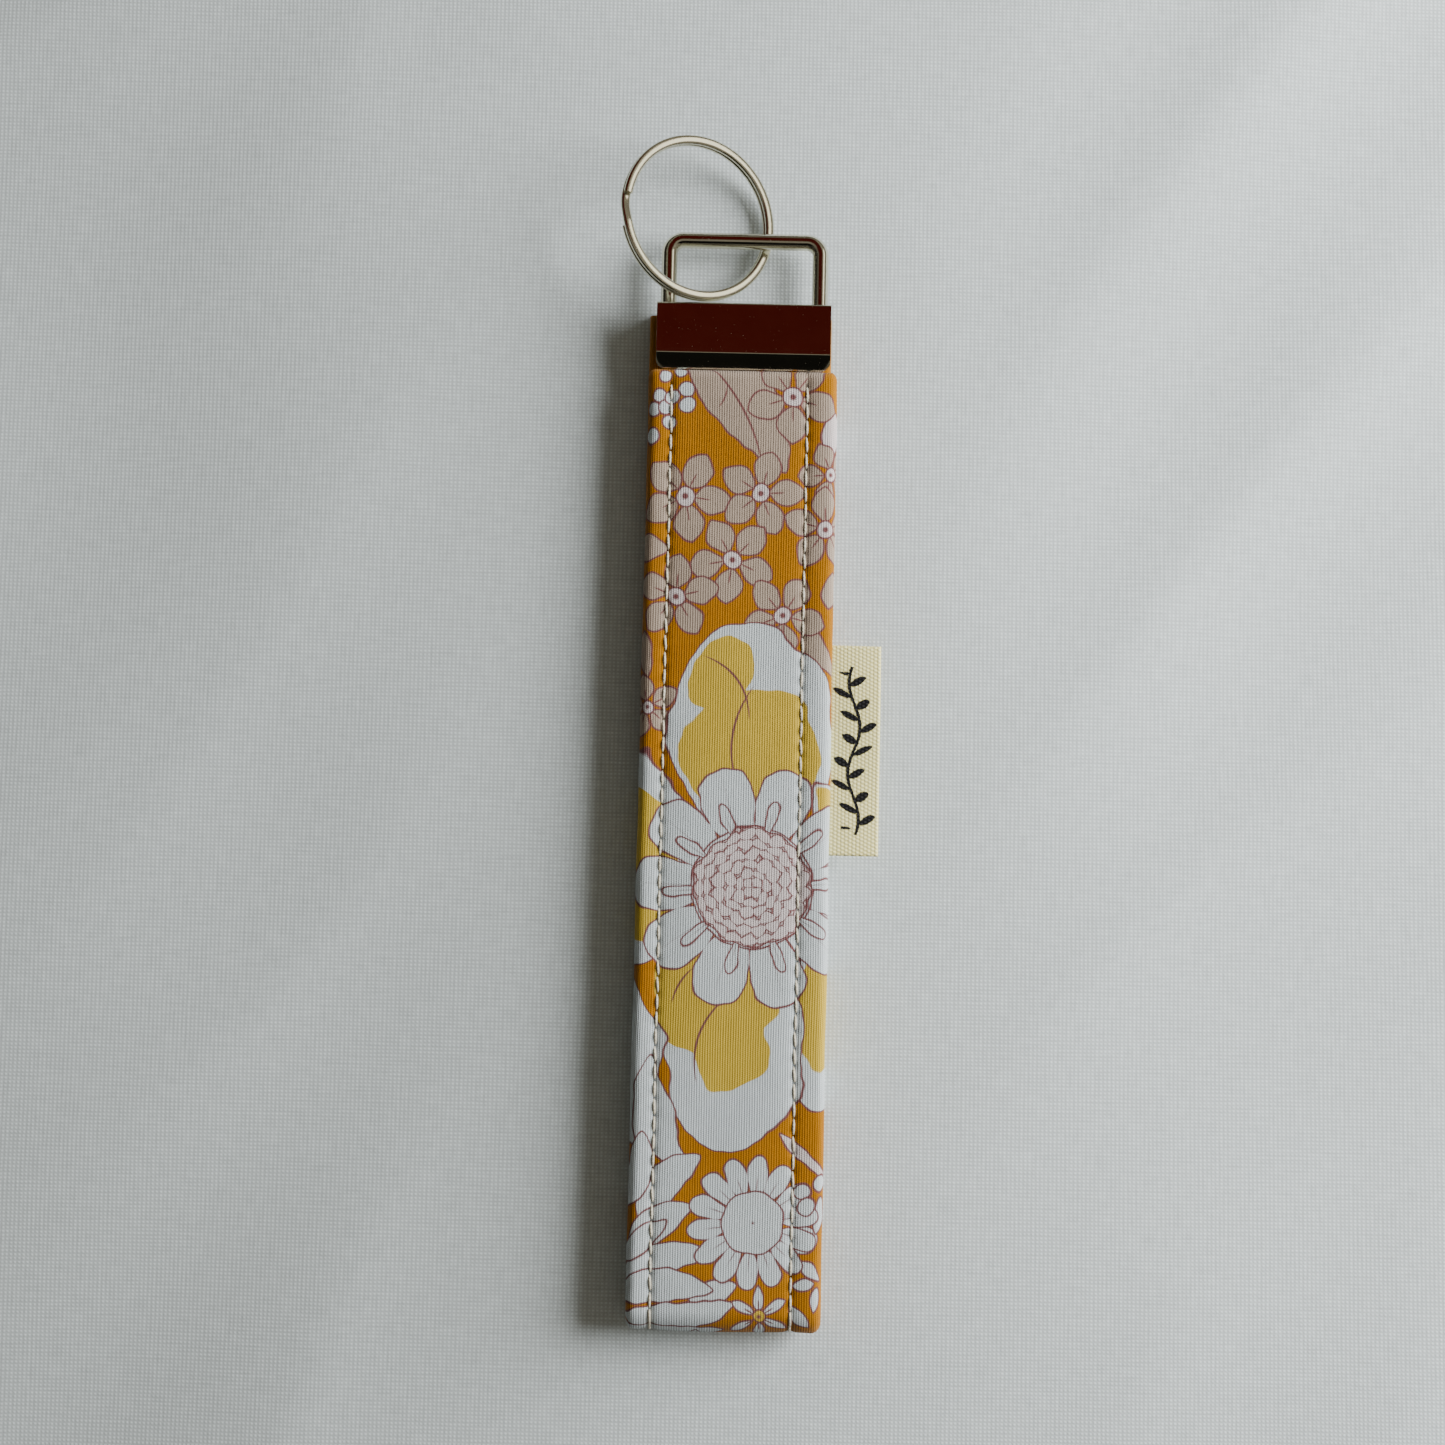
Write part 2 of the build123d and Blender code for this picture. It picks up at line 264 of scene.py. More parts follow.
def new_group(name, floats, colours):
    """An empty shader node group with named inputs, which gives a colour. It also hands on
    its X unchanged. The next shape takes its X from this one, and so the renderer works out
    one shape at a time, where all of them at once wouldn't fit in its memory."""
    group = bpy.data.node_groups.new(name, "ShaderNodeTree")
    sockets = group.interface
    for label in colours:
        sockets.new_socket(label, in_out="INPUT", socket_type="NodeSocketColor")
    for label, value in floats.items():
        socket = sockets.new_socket(label, in_out="INPUT", socket_type="NodeSocketFloat")
        socket.default_value = value
    sockets.new_socket("Colour", in_out="OUTPUT", socket_type="NodeSocketColor")
    sockets.new_socket("X", in_out="OUTPUT", socket_type="NodeSocketFloat")
    recipe = Recipe(group)
    given = group.nodes.new("NodeGroupInput").outputs
    result = group.nodes.new("NodeGroupOutput").inputs
    return group, recipe, given, result


def hand_over(recipe, given, result, colour, distance):
    """Plugs in a group's colour, and its X by way of a distance, which adds next to nothing."""
    recipe.plug(result["Colour"], colour)
    recipe.plug(result["X"], recipe.fit(distance, 1e-9, given["X"]))


def shape_distance(recipe, x, y, half_length, half_width, roundness=2.0):
    """About how far (x, y) is outside a petal, in the units of its sizes. A roundness of 2
    gives an ellipse, and one near 1 gives two pointed ends."""
    px = recipe.over(x, half_length)
    py = recipe.math("ABSOLUTE", recipe.over(y, half_width))
    py = recipe.math("MAXIMUM", py, 1e-3)
    reach = recipe.fit(px, px, recipe.math("POWER", py, roundness))
    slope_x = recipe.over(recipe.times(px, 2.0), half_length)
    steep = recipe.math("POWER", py, recipe.minus(roundness, 1.0))
    slope_y = recipe.over(recipe.times(steep, roundness), half_width)
    slope = recipe.math("MAXIMUM", recipe.length(slope_x, slope_y), 1e-3)
    return recipe.over(recipe.minus(reach, 1.0), slope)


def paint(recipe, distance, under, fill, ink, ink_width):
    """Fills a shape over the colour under it, then inks its outline."""
    filled = recipe.mix(recipe.inside(distance, PRINT_SOFTNESS), under, fill)
    half = recipe.times(ink_width, 0.5)
    from_line = recipe.minus(recipe.math("ABSOLUTE", distance), half)
    return recipe.mix(recipe.inside(from_line, PRINT_SOFTNESS), filled, ink)


petal_group, r, given, result = new_group(
    "printed petal",
    {"X": 0, "Y": 0, "Wobble": 0, "Centre X": 0, "Centre Y": 0, "Half length": 3,
     "Half width": 1.5, "Turn": 0, "Bend": 0, "Taper": 0, "Roundness": 2, "Ink width": 0.26},
    ["Under", "Fill", "Ink"],
)
moved = r.vector(
    r.minus(given["X"], given["Centre X"]),
    r.minus(given["Y"], given["Centre Y"]),
)
turned = r.make("ShaderNodeVectorRotate", {"Vector": moved, "Angle": given["Turn"]},
                rotation_type="Z_AXIS")
along, across, _ = r.split(turned.outputs[0])
bow = r.times(r.times(along, along), given["Bend"])
bowed = r.plus(across, bow)
share = r.over(along, given["Half length"])
narrowing = r.fit(share, given["Taper"], 1.0)
width = r.times(given["Half width"], r.math("MAXIMUM", narrowing, 0.08))
distance = shape_distance(r, along, bowed, given["Half length"], width, given["Roundness"])
wobbly = r.plus(distance, given["Wobble"])
colour = paint(r, wobbly, given["Under"], given["Fill"], given["Ink"], given["Ink width"])
hand_over(r, given, result, colour, wobbly)
print("petal group:", len(petal_group.nodes), "nodes")

# %% [markdown]
# ### Whole flowers
# A flower repeats one petal round its middle. Turning every point into one sector by its
# angle lets one ellipse draw all the petals, however many there are, so a daisy and a
# five-petalled blossom are the same group with other numbers.

# %% Group: a flower with any number of petals
flower_group, r, given, result = new_group(
    "printed flower",
    {"X": 0, "Y": 0, "Wobble": 0, "Centre X": 0, "Centre Y": 0, "Radius": 6, "Turn": 0,
     "Petals": 5, "Petal middle": 0.6, "Petal half length": 0.4, "Petal half width": 0.27,
     "Taper": -0.25, "Roundness": 2, "Heart": 0.19, "Vein": 0.14, "Dot": 0.05,
     "Ink width": 0.26},
    ["Under", "Fill", "Heart colour", "Ink"],
)
dx = r.minus(given["X"], given["Centre X"])
dy = r.minus(given["Y"], given["Centre Y"])
reach = r.length(dx, dy)
angle = r.plus(r.math("ARCTAN2", dy, dx), given["Turn"])
turns = r.times(r.over(angle, math.tau), given["Petals"])
offset = r.minus(turns, r.math("ROUND", turns))
swing = r.over(r.times(offset, math.tau), given["Petals"])
along = r.times(reach, r.math("COSINE", swing))
across = r.times(reach, r.math("SINE", swing))
half_length = r.times(given["Radius"], given["Petal half length"])
from_middle = r.minus(along, r.times(given["Radius"], given["Petal middle"]))
narrowing = r.fit(r.over(from_middle, half_length), given["Taper"], 1.0)
half_width = r.times(
    r.times(given["Radius"], given["Petal half width"]), r.math("MAXIMUM", narrowing, 0.1)
)
petal = shape_distance(r, from_middle, across, half_length, half_width, given["Roundness"])
petal = r.plus(petal, given["Wobble"])
colour = paint(r, petal, given["Under"], given["Fill"], given["Ink"], given["Ink width"])
vein_from = r.times(half_length, 0.55)
in_vein = shape_distance(
    r, r.plus(from_middle, vein_from), across, r.times(half_length, 0.4),
    given["Vein"],
)
colour = r.mix(r.inside(in_vein, PRINT_SOFTNESS), colour, given["Ink"])
heart = r.minus(reach, r.times(given["Radius"], given["Heart"]))
heart = r.plus(heart, given["Wobble"])
colour = paint(r, heart, colour, given["Heart colour"], given["Ink"], given["Ink width"])
dot = r.minus(reach, r.times(given["Radius"], given["Dot"]))
colour = r.mix(r.inside(dot, 0.3), colour, given["Ink"])
hand_over(r, given, result, colour, petal)
print("flower group:", len(flower_group.nodes), "nodes")

# %% [markdown]
# ### The seed head
# The large bloom has a round head of overlapping scales in rings. Each ring is cut into
# cells as long as the ring is wide, and every other ring is turned by half a cell, like
# bricks, so that the scales sit in each other's gaps.

# %% Group: a round head of scales
scales_group, r, given, result = new_group(
    "printed scales",
    {"X": 0, "Y": 0, "Wobble": 0, "Centre X": 0, "Centre Y": 0, "Radius": 7.6, "Ring": 1.15,
     "Ink width": 0.26},
    ["Under", "Fill", "Ink"],
)
dx = r.minus(given["X"], given["Centre X"])
dy = r.minus(given["Y"], given["Centre Y"])
wavering = r.times(given["Wobble"], 2.6)
reach = r.plus(r.length(dx, dy), wavering)
rings = r.over(reach, given["Ring"])
ring = r.math("FLOOR", rings)
through = r.minus(r.minus(rings, ring), 0.5)
count = r.math("ROUND", r.fit(ring, 3.4, 4.0))
twist = r.times(ring, 2.4)
turns = r.over(r.plus(r.math("ARCTAN2", dy, dx), twist), math.tau)
cells = r.times(turns, count)
beside = r.minus(r.minus(cells, r.math("FLOOR", cells)), 0.5)
cell_length = r.over(r.times(r.math("MAXIMUM", reach, 0.5), math.tau), count)
scale = shape_distance(
    r, r.times(beside, cell_length), r.times(through, given["Ring"]),
    r.times(cell_length, 0.56), r.times(given["Ring"], 0.55),
)
scale_edge = r.inside(r.minus(r.math("ABSOLUTE", scale), 0.11), 0.16)
scaled = r.mix(scale_edge, given["Fill"], given["Ink"])
disc = r.minus(reach, given["Radius"])
colour = paint(r, disc, given["Under"], scaled, given["Ink"], given["Ink width"])
hand_over(r, given, result, colour, scale)
print("scales group:", len(scales_group.nodes), "nodes")

# %% [markdown]
# ## The printed cotton
# A maker prints this cloth on a wide roll, so the picture runs straight across the strap and
# is cut off at its edges. Here it is laid out in millimetres: X across the strap, Y along it
# from the clamp. Shapes are listed from the bottom of the picture to the top one, each with
# its colour, place, half length, half width and turn in degrees. The fabric itself is a fine
# ribbed cotton: its ribs run along the strap, and each rib is shaded and raised a little.

# %% Print layout
INK = (0.165, 0.062, 0.062, 1.0)
WHITE = (0.525, 0.565, 0.575, 1.0)
MUSTARD = (0.515, 0.350, 0.040, 1.0)
BEIGE = (0.355, 0.272, 0.21, 1.0)
PALE = (0.58, 0.50, 0.49, 1.0)
NO_INK = 0.0
THIN = 0.27
ROUND = 2.0
POINTED = 1.25

# colour, centre x, centre y, half length, half width, turn, bend, taper, roundness, ink width
LEAVES_NEAR_CLAMP = [
    (BEIGE, 0.8, 5.6, 11.5, 4.9, 308, -0.012, -0.30, 1.4, THIN),
    (INK, -0.2, 5.6, 8.4, 0.14, 300, -0.018, 0, ROUND, NO_INK),
    (INK, -2.6, 4.4, 1.5, 0.10, 70, 0.1, 0, ROUND, NO_INK),
    (PALE, 13.6, 9.6, 3.4, 1.7, 78, 0.0, -0.2, 1.4, THIN),
    (BEIGE, -13.6, 27.2, 3.0, 2.0, 0, 0.0, -0.2, 1.4, THIN),
    (BEIGE, 13.9, 33.0, 2.8, 1.6, 80, 0.0, -0.2, POINTED, THIN),
    (BEIGE, 11.8, 42.0, 4.6, 1.6, 305, 0.02, -0.2, POINTED, THIN),
    (BEIGE, -13.8, 43.0, 3.6, 1.4, 280, 0.02, -0.2, POINTED, THIN),
]
# colour, centre x, centre y, radius, turn, petals, heart colour
BLOSSOMS_NEAR_CLAMP = [
    (BEIGE, 13.4, 15.8, 5.0, 40, 5, PALE),
    (BEIGE, 7.5, 4.2, 6.9, 54, 5, PALE),
    (BEIGE, -8.2, 19.4, 6.9, -8, 5, PALE),
    (BEIGE, 3.0, 18.8, 6.4, 3, 5, PALE),
    (BEIGE, 12.6, 24.0, 6.2, 19, 5, PALE),
    (BEIGE, -1.0, 28.8, 6.5, -25, 5, PALE),
    (BEIGE, -9.2, 34.4, 6.3, 14, 5, PALE),
    (BEIGE, 6.6, 36.9, 6.2, -14, 5, PALE),
    (BEIGE, -13.0, 50.8, 4.8, 30, 5, PALE),
]
BERRIES_NEAR_CLAMP = [
    (-13.3, 6.4, 1.1), (-11.4, 1.3, 1.0), (-9.2, 0.6, 1.0), (-8.2, 3.3, 1.2), (-8.2, 5.7, 1.25),
    (-12.3, 4.3, 1.05), (-11.3, 6.1, 1.1), (-10.8, 8.3, 1.1), (-13.6, 10.4, 1.3),
    (-10.4, 4.5, 1.1),
]
LARGE_PETALS = [
    # the upper white petal, its mustard patch and its veins
    (WHITE, 2.6, 53.0, 15.0, 12.0, 96, 0.0, -0.10, 2.3, THIN),
    (MUSTARD, 1.6, 56.6, 9.4, 9.2, 8, 0.0, 0.05, 2.2, NO_INK),
    (MUSTARD, -2.1, 46.6, 5.6, 4.4, 62, 0.02, 0.1, 2.2, NO_INK),
    (INK, 0.2, 46.6, 5.4, 0.15, 306, -0.06, 0, ROUND, NO_INK),
    (INK, -0.4, 54.6, 7.0, 0.15, 262, 0.035, 0, ROUND, NO_INK),
    # the petals at the left and right edges
    (WHITE, -14.6, 73.0, 15.5, 8.8, 92, 0.0, 0.0, 2.2, THIN),
    (MUSTARD, -13.6, 73.6, 11.0, 6.4, 92, 0.0, -0.1, 2.2, NO_INK),
    (WHITE, 14.8, 74.0, 12.0, 5.0, 90, 0.0, 0.0, 2.2, THIN),
    (MUSTARD, 14.2, 67.5, 4.8, 2.6, 84, 0.0, 0.0, 2.2, NO_INK),
    (WHITE, 14.0, 96.2, 12.8, 5.6, 96, 0.0, 0.0, 2.2, THIN),
    (MUSTARD, 13.2, 94.6, 9.0, 3.7, 96, 0.0, 0.0, 2.2, NO_INK),
    # the lower white petal, its mustard patch and its veins
    (WHITE, 0.2, 99.4, 15.4, 10.3, 92, 0.0, 0.06, 2.4, THIN),
    (MUSTARD, -2.6, 92.6, 8.6, 9.4, 90, 0.0, 0.05, 2.2, NO_INK),
    (MUSTARD, 0.4, 99.4, 7.2, 5.6, 100, 0.0, -0.25, 2.2, NO_INK),
    (INK, -4.2, 98.0, 6.4, 0.15, 70, -0.045, 0, ROUND, NO_INK),
    (INK, -7.4, 91.0, 2.6, 0.12, 60, -0.06, 0, ROUND, NO_INK),
    (WHITE, -13.6, 100.5, 12.6, 4.6, 100, 0.02, 0.0, 2.2, THIN),
    (WHITE, -10.9, 109.5, 8.8, 3.0, 286, 0.03, -0.1, 1.8, THIN),
]
LEAVES_NEAR_FOLD = [
    (WHITE, -9.0, 119.4, 6.4, 2.6, 48, -0.03, -0.1, 1.5, THIN),
    (WHITE, -12.8, 118.0, 5.6, 2.2, 75, 0.03, -0.1, 1.5, THIN),
    (WHITE, -10.2, 125.6, 6.0, 2.5, 40, -0.03, -0.1, 1.5, THIN),
    (WHITE, -9.4, 130.4, 7.6, 2.3, 18, -0.02, -0.1, 1.4, THIN),
    (WHITE, -12.0, 127.8, 4.6, 1.6, 40, 0.0, -0.1, 1.5, THIN),
    (WHITE, -1.6, 135.0, 3.6, 1.8, 20, 0.0, -0.1, 1.4, THIN),
    (WHITE, -9.0, 134.0, 7.4, 2.4, 4, -0.02, -0.2, 1.5, THIN),
    (WHITE, -6.6, 138.6, 8.4, 2.2, 8, 0.015, -0.1, 1.6, THIN),
    (WHITE, -8.6, 142.0, 8.8, 1.9, 2, 0.015, -0.1, 1.6, THIN),
    (PALE, 11.2, 115.4, 4.8, 0.8, 318, 0.0, 0.0, ROUND, THIN),
    (WHITE, 11.0, 127.2, 2.6, 2.1, 2, 0.0, -0.1, ROUND, THIN),
    (WHITE, 12.4, 131.6, 2.2, 0.9, 320, 0.0, 0.0, 1.4, THIN),
    (WHITE, 11.4, 133.6, 1.6, 0.8, 10, 0.0, 0.0, 1.4, THIN),
    (WHITE, 13.2, 135.8, 1.8, 0.8, 80, 0.0, 0.0, 1.4, THIN),
    (WHITE, 10.8, 138.2, 2.2, 0.9, 310, 0.0, 0.0, 1.4, THIN),
    (WHITE, 13.6, 123.8, 2.6, 1.0, 80, 0.0, 0.0, 1.4, THIN),
]
BLOSSOMS_NEAR_FOLD = [
    (WHITE, 4.0, 125.0, 9.6, 8, 14, WHITE),
    (WHITE, 5.1, 138.2, 4.4, 92, 6, MUSTARD),
    (WHITE, -4.6, 146.0, 5.2, 22, 6, MUSTARD),
]
BERRIES_NEAR_FOLD = [(10.9, 120.4, 1.2), (11.7, 122.5, 1.3), (13.7, 119.2, 1.2)]
print("shapes in the print:", sum(len(part) for part in (
    LEAVES_NEAR_CLAMP, BLOSSOMS_NEAR_CLAMP, BERRIES_NEAR_CLAMP, LARGE_PETALS,
    LEAVES_NEAR_FOLD, BLOSSOMS_NEAR_FOLD, BERRIES_NEAR_FOLD,
)))


# %% Material: printed cotton
def shape_node(recipe, group, place, values):
    """Adds one of the groups above at a place and hands back its colour. The place takes
    the X that the shape hands on."""
    shape = recipe.add("ShaderNodeGroup", node_tree=group)
    for label, value in {**place, **values}.items():
        recipe.plug(shape.inputs[label], value)
    place["X"] = shape.outputs["X"]
    return shape.outputs["Colour"]


def draw_petals(recipe, place, under, rows):
    """Paints a list of leaves or petals over the colour under them. A thin one that is all
    ink is a vein, and it isn't wobbled, which would break it up."""
    for fill, x, y, half_length, half_width, turn, bend, taper, roundness, ink_width in rows:
        under = shape_node(recipe, petal_group, place, {
            "Under": under, "Fill": fill, "Ink": fill if ink_width == 0 else INK,
            "Centre X": x, "Centre Y": y, "Half length": half_length, "Half width": half_width,
            "Turn": math.radians(turn), "Bend": bend, "Taper": taper, "Roundness": roundness,
            "Ink width": ink_width, "Wobble": 0.0 if fill is INK else place["Wobble"],
        })
    return under


def draw_blossoms(recipe, place, under, rows):
    """Paints small flowers. One with many petals has narrow, round ones and a large heart."""
    for fill, x, y, radius, turn, petals, heart in rows:
        daisy = petals > 6
        star = petals == 6
        under = shape_node(recipe, flower_group, place, {
            "Under": under, "Fill": fill, "Heart colour": heart, "Ink": INK,
            "Centre X": x, "Centre Y": y, "Radius": radius, "Turn": math.radians(turn),
            "Petals": petals, "Petal half width": 0.155 if daisy else 0.17 if star else 0.32,
            "Heart": 0.47 if daisy else 0.2 if star else 0.21,
            "Petal middle": 0.70 if daisy else 0.6, "Taper": 0.12 if daisy else 0.05,
            "Petal half length": 0.30 if daisy else 0.42, "Roundness": 2.4 if daisy else 1.2,
            "Dot": 0.02 if daisy else 0.07, "Vein": 0.05 if daisy else 0.11,
        })
    return under


def berries(rows):
    """Berries as round petals, so that they use the same group."""
    return [(WHITE, x, y, radius, radius * 0.94, 25, 0, 0, ROUND, THIN) for x, y, radius in rows]


cotton, r, shader = new_material("printed_cotton")
u, v = cloth_position(r)
flat = r.vector(u, v)
small_waver = r.fit(r.noise(flat, 0.45, 0.0), 0.7, -0.35)
large_waver = r.fit(r.noise(flat, 0.13, 0.0), 5.0, -2.5)
place = {"X": u, "Y": v, "Wobble": small_waver}
large_wobble = r.plus(large_waver, small_waver)

mottle = r.noise(flat, 1.4, 4.0, 0.6)
picture = r.mix(mottle, (0.305, 0.112, 0.002, 1.0), (0.395, 0.158, 0.004, 1.0))
picture = draw_petals(r, place, picture, LEAVES_NEAR_CLAMP)
picture = draw_blossoms(r, place, picture, BLOSSOMS_NEAR_CLAMP)
picture = draw_petals(r, place, picture, berries(BERRIES_NEAR_CLAMP))
picture = draw_petals(r, {**place, "Wobble": large_wobble}, picture, LARGE_PETALS)
picture = draw_petals(r, place, picture, LEAVES_NEAR_FOLD)
picture = draw_blossoms(r, place, picture, BLOSSOMS_NEAR_FOLD)
picture = draw_petals(r, place, picture, berries(BERRIES_NEAR_FOLD))

bloom = {
    "Fill": WHITE, "Heart colour": WHITE, "Ink": INK, "Centre X": 2.9,
    "Centre Y": 76.9, "Radius": 17.8, "Turn": -0.02, "Petals": 10, "Petal half width": 0.205,
    "Petal half length": 0.36, "Petal middle": 0.64, "Taper": 0.42, "Roundness": 2.3,
    "Heart": 0.5, "Ink width": THIN,
}
picture = shape_node(r, flower_group, place, {**bloom, "Under": picture, "Vein": 0.02})
picture = shape_node(r, flower_group, place, {
    **bloom, "Under": picture, "Radius": 13.0, "Turn": 0.06, "Petal half width": 0.058,
    "Petal half length": 0.21, "Petal middle": 0.79, "Taper": 0.3, "Heart": 0.62, "Vein": 0.02,
})
picture = shape_node(r, scales_group, place, {
    "Under": picture, "Fill": PALE, "Ink": INK, "Centre X": 2.9, "Centre Y": 76.9,
    "Radius": 8.6, "Ring": 1.4,
})

RIB_PITCH = 0.365
WEFT_PITCH = 0.30
rib_wander = r.times(r.noise(r.stretch(flat, (2.0, 0.25, 1.0)), 1.0, 1.0), 0.10)
rib_phase = r.times(r.plus(u, rib_wander), math.tau / RIB_PITCH)
rib = r.fit(r.math("SINE", rib_phase), 0.5, 0.5)
row = r.math("FLOOR", r.over(u, RIB_PITCH))
half_turns = r.times(row, math.pi)
weft_phase = r.fit(v, math.tau / WEFT_PITCH, half_turns)
weft = r.fit(r.math("SINE", weft_phase), 0.5, 0.5)
weave = r.plus(r.times(rib, 0.68), r.times(weft, 0.32))
slub = r.noise(r.stretch(flat, (5.5, 0.8, 1.0)), 1.0, 3.0, 0.6)
shade = r.fit(weave, 0.78, 0.50)
shade = r.times(shade, r.fit(slub, 0.30, 0.87))
shade = r.times(shade, r.fit(r.noise(flat, 11.0, 2.0), 0.26, 0.87))


def needle_hole_shade(recipe, u, v, seam_x):
    """1 in the small needle holes between the stitches of one seam, where the cloth gets painted
    shade.
    """
    step = recipe.over(v, STITCH_PITCH)
    off = recipe.times(recipe.minus(step, recipe.math("ROUND", step)), STITCH_PITCH)
    hole = shape_distance(recipe, off, recipe.minus(u, seam_x), 0.46, 0.20)
    return recipe.inside(hole, 0.16)


holes = r.math(
    "MAXIMUM", needle_hole_shade(r, u, v, LEFT_STITCH_X), needle_hole_shade(r, u, v, RIGHT_STITCH_X)
)
# Painted shade: the cloth is darkened by 62 per cent in each needle hole, where shade falls into
# the dimple.
shade = r.times(shade, r.fit(holes, -0.62, 1.0))
r.plug(shader.inputs["Base Color"], r.darken(picture, shade))
r.plug(shader.inputs["Roughness"], r.fit(slub, 0.16, 0.72))
shader.inputs["Sheen Weight"].default_value = 0.08
shader.inputs["Sheen Roughness"].default_value = 0.5
shader.inputs["Specular IOR Level"].default_value = 0.3
fuzz = r.bump(r.noise(flat, 9.0, 3.0, 0.6), 0.00006, 0.5)
r.plug(shader.inputs["Normal"], r.bump(weave, 0.00007, 0.75, under=fuzz))
print("cotton:", len(cotton.node_tree.nodes), "nodes")

# %% [markdown]
# ## Thread and nickel
# The thread is cream polyester, twisted from two plies, so fine slanted lines cross it.
# Every metal part is nickel plate, which is warm and bright, with faint polishing lines and
# a few specks of dust in them.


# %% Material: sewing thread
def thread_colour(recipe, position):
    """Cream with a little unevenness along the thread."""
    uneven = recipe.noise(position, 1400.0, 3.0)
    return recipe.mix(uneven, (0.50, 0.44, 0.32, 1.0), (0.86, 0.81, 0.68, 1.0))


thread, r, shader = new_material("thread")
u, v = cloth_position(r, "ThreadMap")
ply = r.math("SINE", r.times(r.plus(r.times(v, 2.0), u), math.tau))
ply = r.fit(ply, 0.5, 0.5)
position = r.add("ShaderNodeTexCoord").outputs["Object"]
twisted = r.mix(r.times(ply, 0.45), thread_colour(r, position), (0.36, 0.29, 0.19, 1.0))
r.plug(shader.inputs["Base Color"], twisted)
r.plug(shader.inputs["Roughness"], r.fit(ply, 0.12, 0.52))
shader.inputs["Sheen Weight"].default_value = 0.2
r.plug(shader.inputs["Normal"], r.bump(ply, 0.00004, 0.7))
print("thread:", len(thread.node_tree.nodes), "nodes")


# %% Material: nickel
def nickel(name, brush_scale, roughness=0.13):
    """Bright warm plate. brush_scale stretches its polishing lines along a direction."""
    material, recipe, shader = new_material(name)
    position = recipe.add("ShaderNodeTexCoord").outputs["Object"]
    lines = recipe.noise(recipe.stretch(position, brush_scale), 1.0, 5.0, 0.65)
    cloud = recipe.noise(position, 260.0, 3.0, 0.6)
    specks = recipe.noise(position, 5200.0, 1.0)
    dust = recipe.math("GREATER_THAN", specks, 0.79)
    plate = recipe.mix(cloud, (0.66, 0.63, 0.50, 1.0), (0.82, 0.79, 0.65, 1.0))
    dusty = recipe.mix(recipe.times(dust, 0.5), plate, (0.86, 0.80, 0.70, 1.0))
    recipe.plug(shader.inputs["Base Color"], dusty)
    shader.inputs["Metallic"].default_value = 1.0
    worn = recipe.fit(lines, 0.10, roughness - 0.05)
    worn = recipe.fit(cloud, 0.05, worn)
    recipe.plug(shader.inputs["Roughness"], recipe.fit(dust, 0.3, worn))
    scratches = recipe.bump(lines, 0.000004, 0.4)
    recipe.plug(shader.inputs["Normal"], recipe.bump(dust, 0.00001, 0.4, under=scratches))
    return material


clamp_nickel = nickel("clamp_nickel", (60.0, 4200.0, 4200.0), 0.09)
frame_nickel = nickel("frame_nickel", (900.0, 900.0, 900.0), 0.12)
ring_nickel = nickel("ring_nickel", (700.0, 700.0, 3000.0), 0.13)
print("nickel finishes:", clamp_nickel.name, frame_nickel.name, ring_nickel.name)

# %% [markdown]
# ## The strap as a path with sections
# The strap is one long pad: fleece in a sleeve of cotton, sewn flat along two lines. Cloth
# simulation of a cushion would round it off, and a sewn strap is flatter than that. So it
# is built directly: a list of stations along its path, and at each one a rounded section.
# The stitches pull a furrow into both faces, deeper at each needle hole, and the pad between
# them stands up a little. The upper layer, the fold and the lower layer are separate meshes,
# which meet at the tip of the fold and on the straight lower layer.

# %% Stations along the strap
ROW = 0.5  # mm between rows of the mesh
EDGE = 1.2  # radius of the strap's long edges
PINCHED_SHIFT = -0.42  # how far the pinched ends sit to the left in the clamp
PINCHED_WIDTH = HALF_WIDTH - 0.45


def station(y, z, normal, v, half=None, width=None, shift=0.0):
    """One place along the strap: its middle, the outward direction of its outer face, how far
    along the printed cloth it is, half its thickness and width, and its shift sideways."""
    return {
        "y": y, "z": z, "normal": normal, "v": v, "shift": shift,
        "half": LAYER / 2 if half is None else half,
        "width": HALF_WIDTH if width is None else width,
    }


def straight(start_y, end_y, z, side):
    """Stations on a straight stretch. side is 1 for the upper layer and -1 for the lower."""
    count = max(1, round(abs(end_y - start_y) / ROW))
    places = [start_y + (end_y - start_y) * i / count for i in range(count + 1)]
    return [station(y, z, (0.0, side), MOUTH_Y - y) for y in places]


def fold(start_angle, end_angle, count):
    """Stations round the fold. 0 is where the upper layer enters it, and 180 is the lower."""
    rows = []
    for i in range(count + 1):
        angle = math.radians(start_angle + (end_angle - start_angle) * i / count)
        away = (-math.sin(angle), math.cos(angle))
        passed = FOLD_RADIUS * (angle if angle <= math.pi / 2 else math.pi - angle)
        rows.append(station(
            FOLD_Y + MIDDLE_RADIUS * away[0], MID_Z + MIDDLE_RADIUS * away[1], away,
            MOUTH_Y - FOLD_Y + passed,
        ))
    return rows


def knuckle(y, z):
    """The round end of the upper layer where it turns into the clamp."""
    rows = []
    for i in range(1, 9):
        angle = math.pi / 2 * (1 - i / 8) ** 1.2
        half = LAYER / 2 * max(math.cos(angle), 0.04)
        rows.append(station(
            y + LAYER / 2 * math.sin(angle), z, (0.0, 1.0), MOUTH_Y - y - 1.4 * angle,
            half, HALF_WIDTH - 0.9 * (1 - math.cos(angle)),
        ))
    return rows


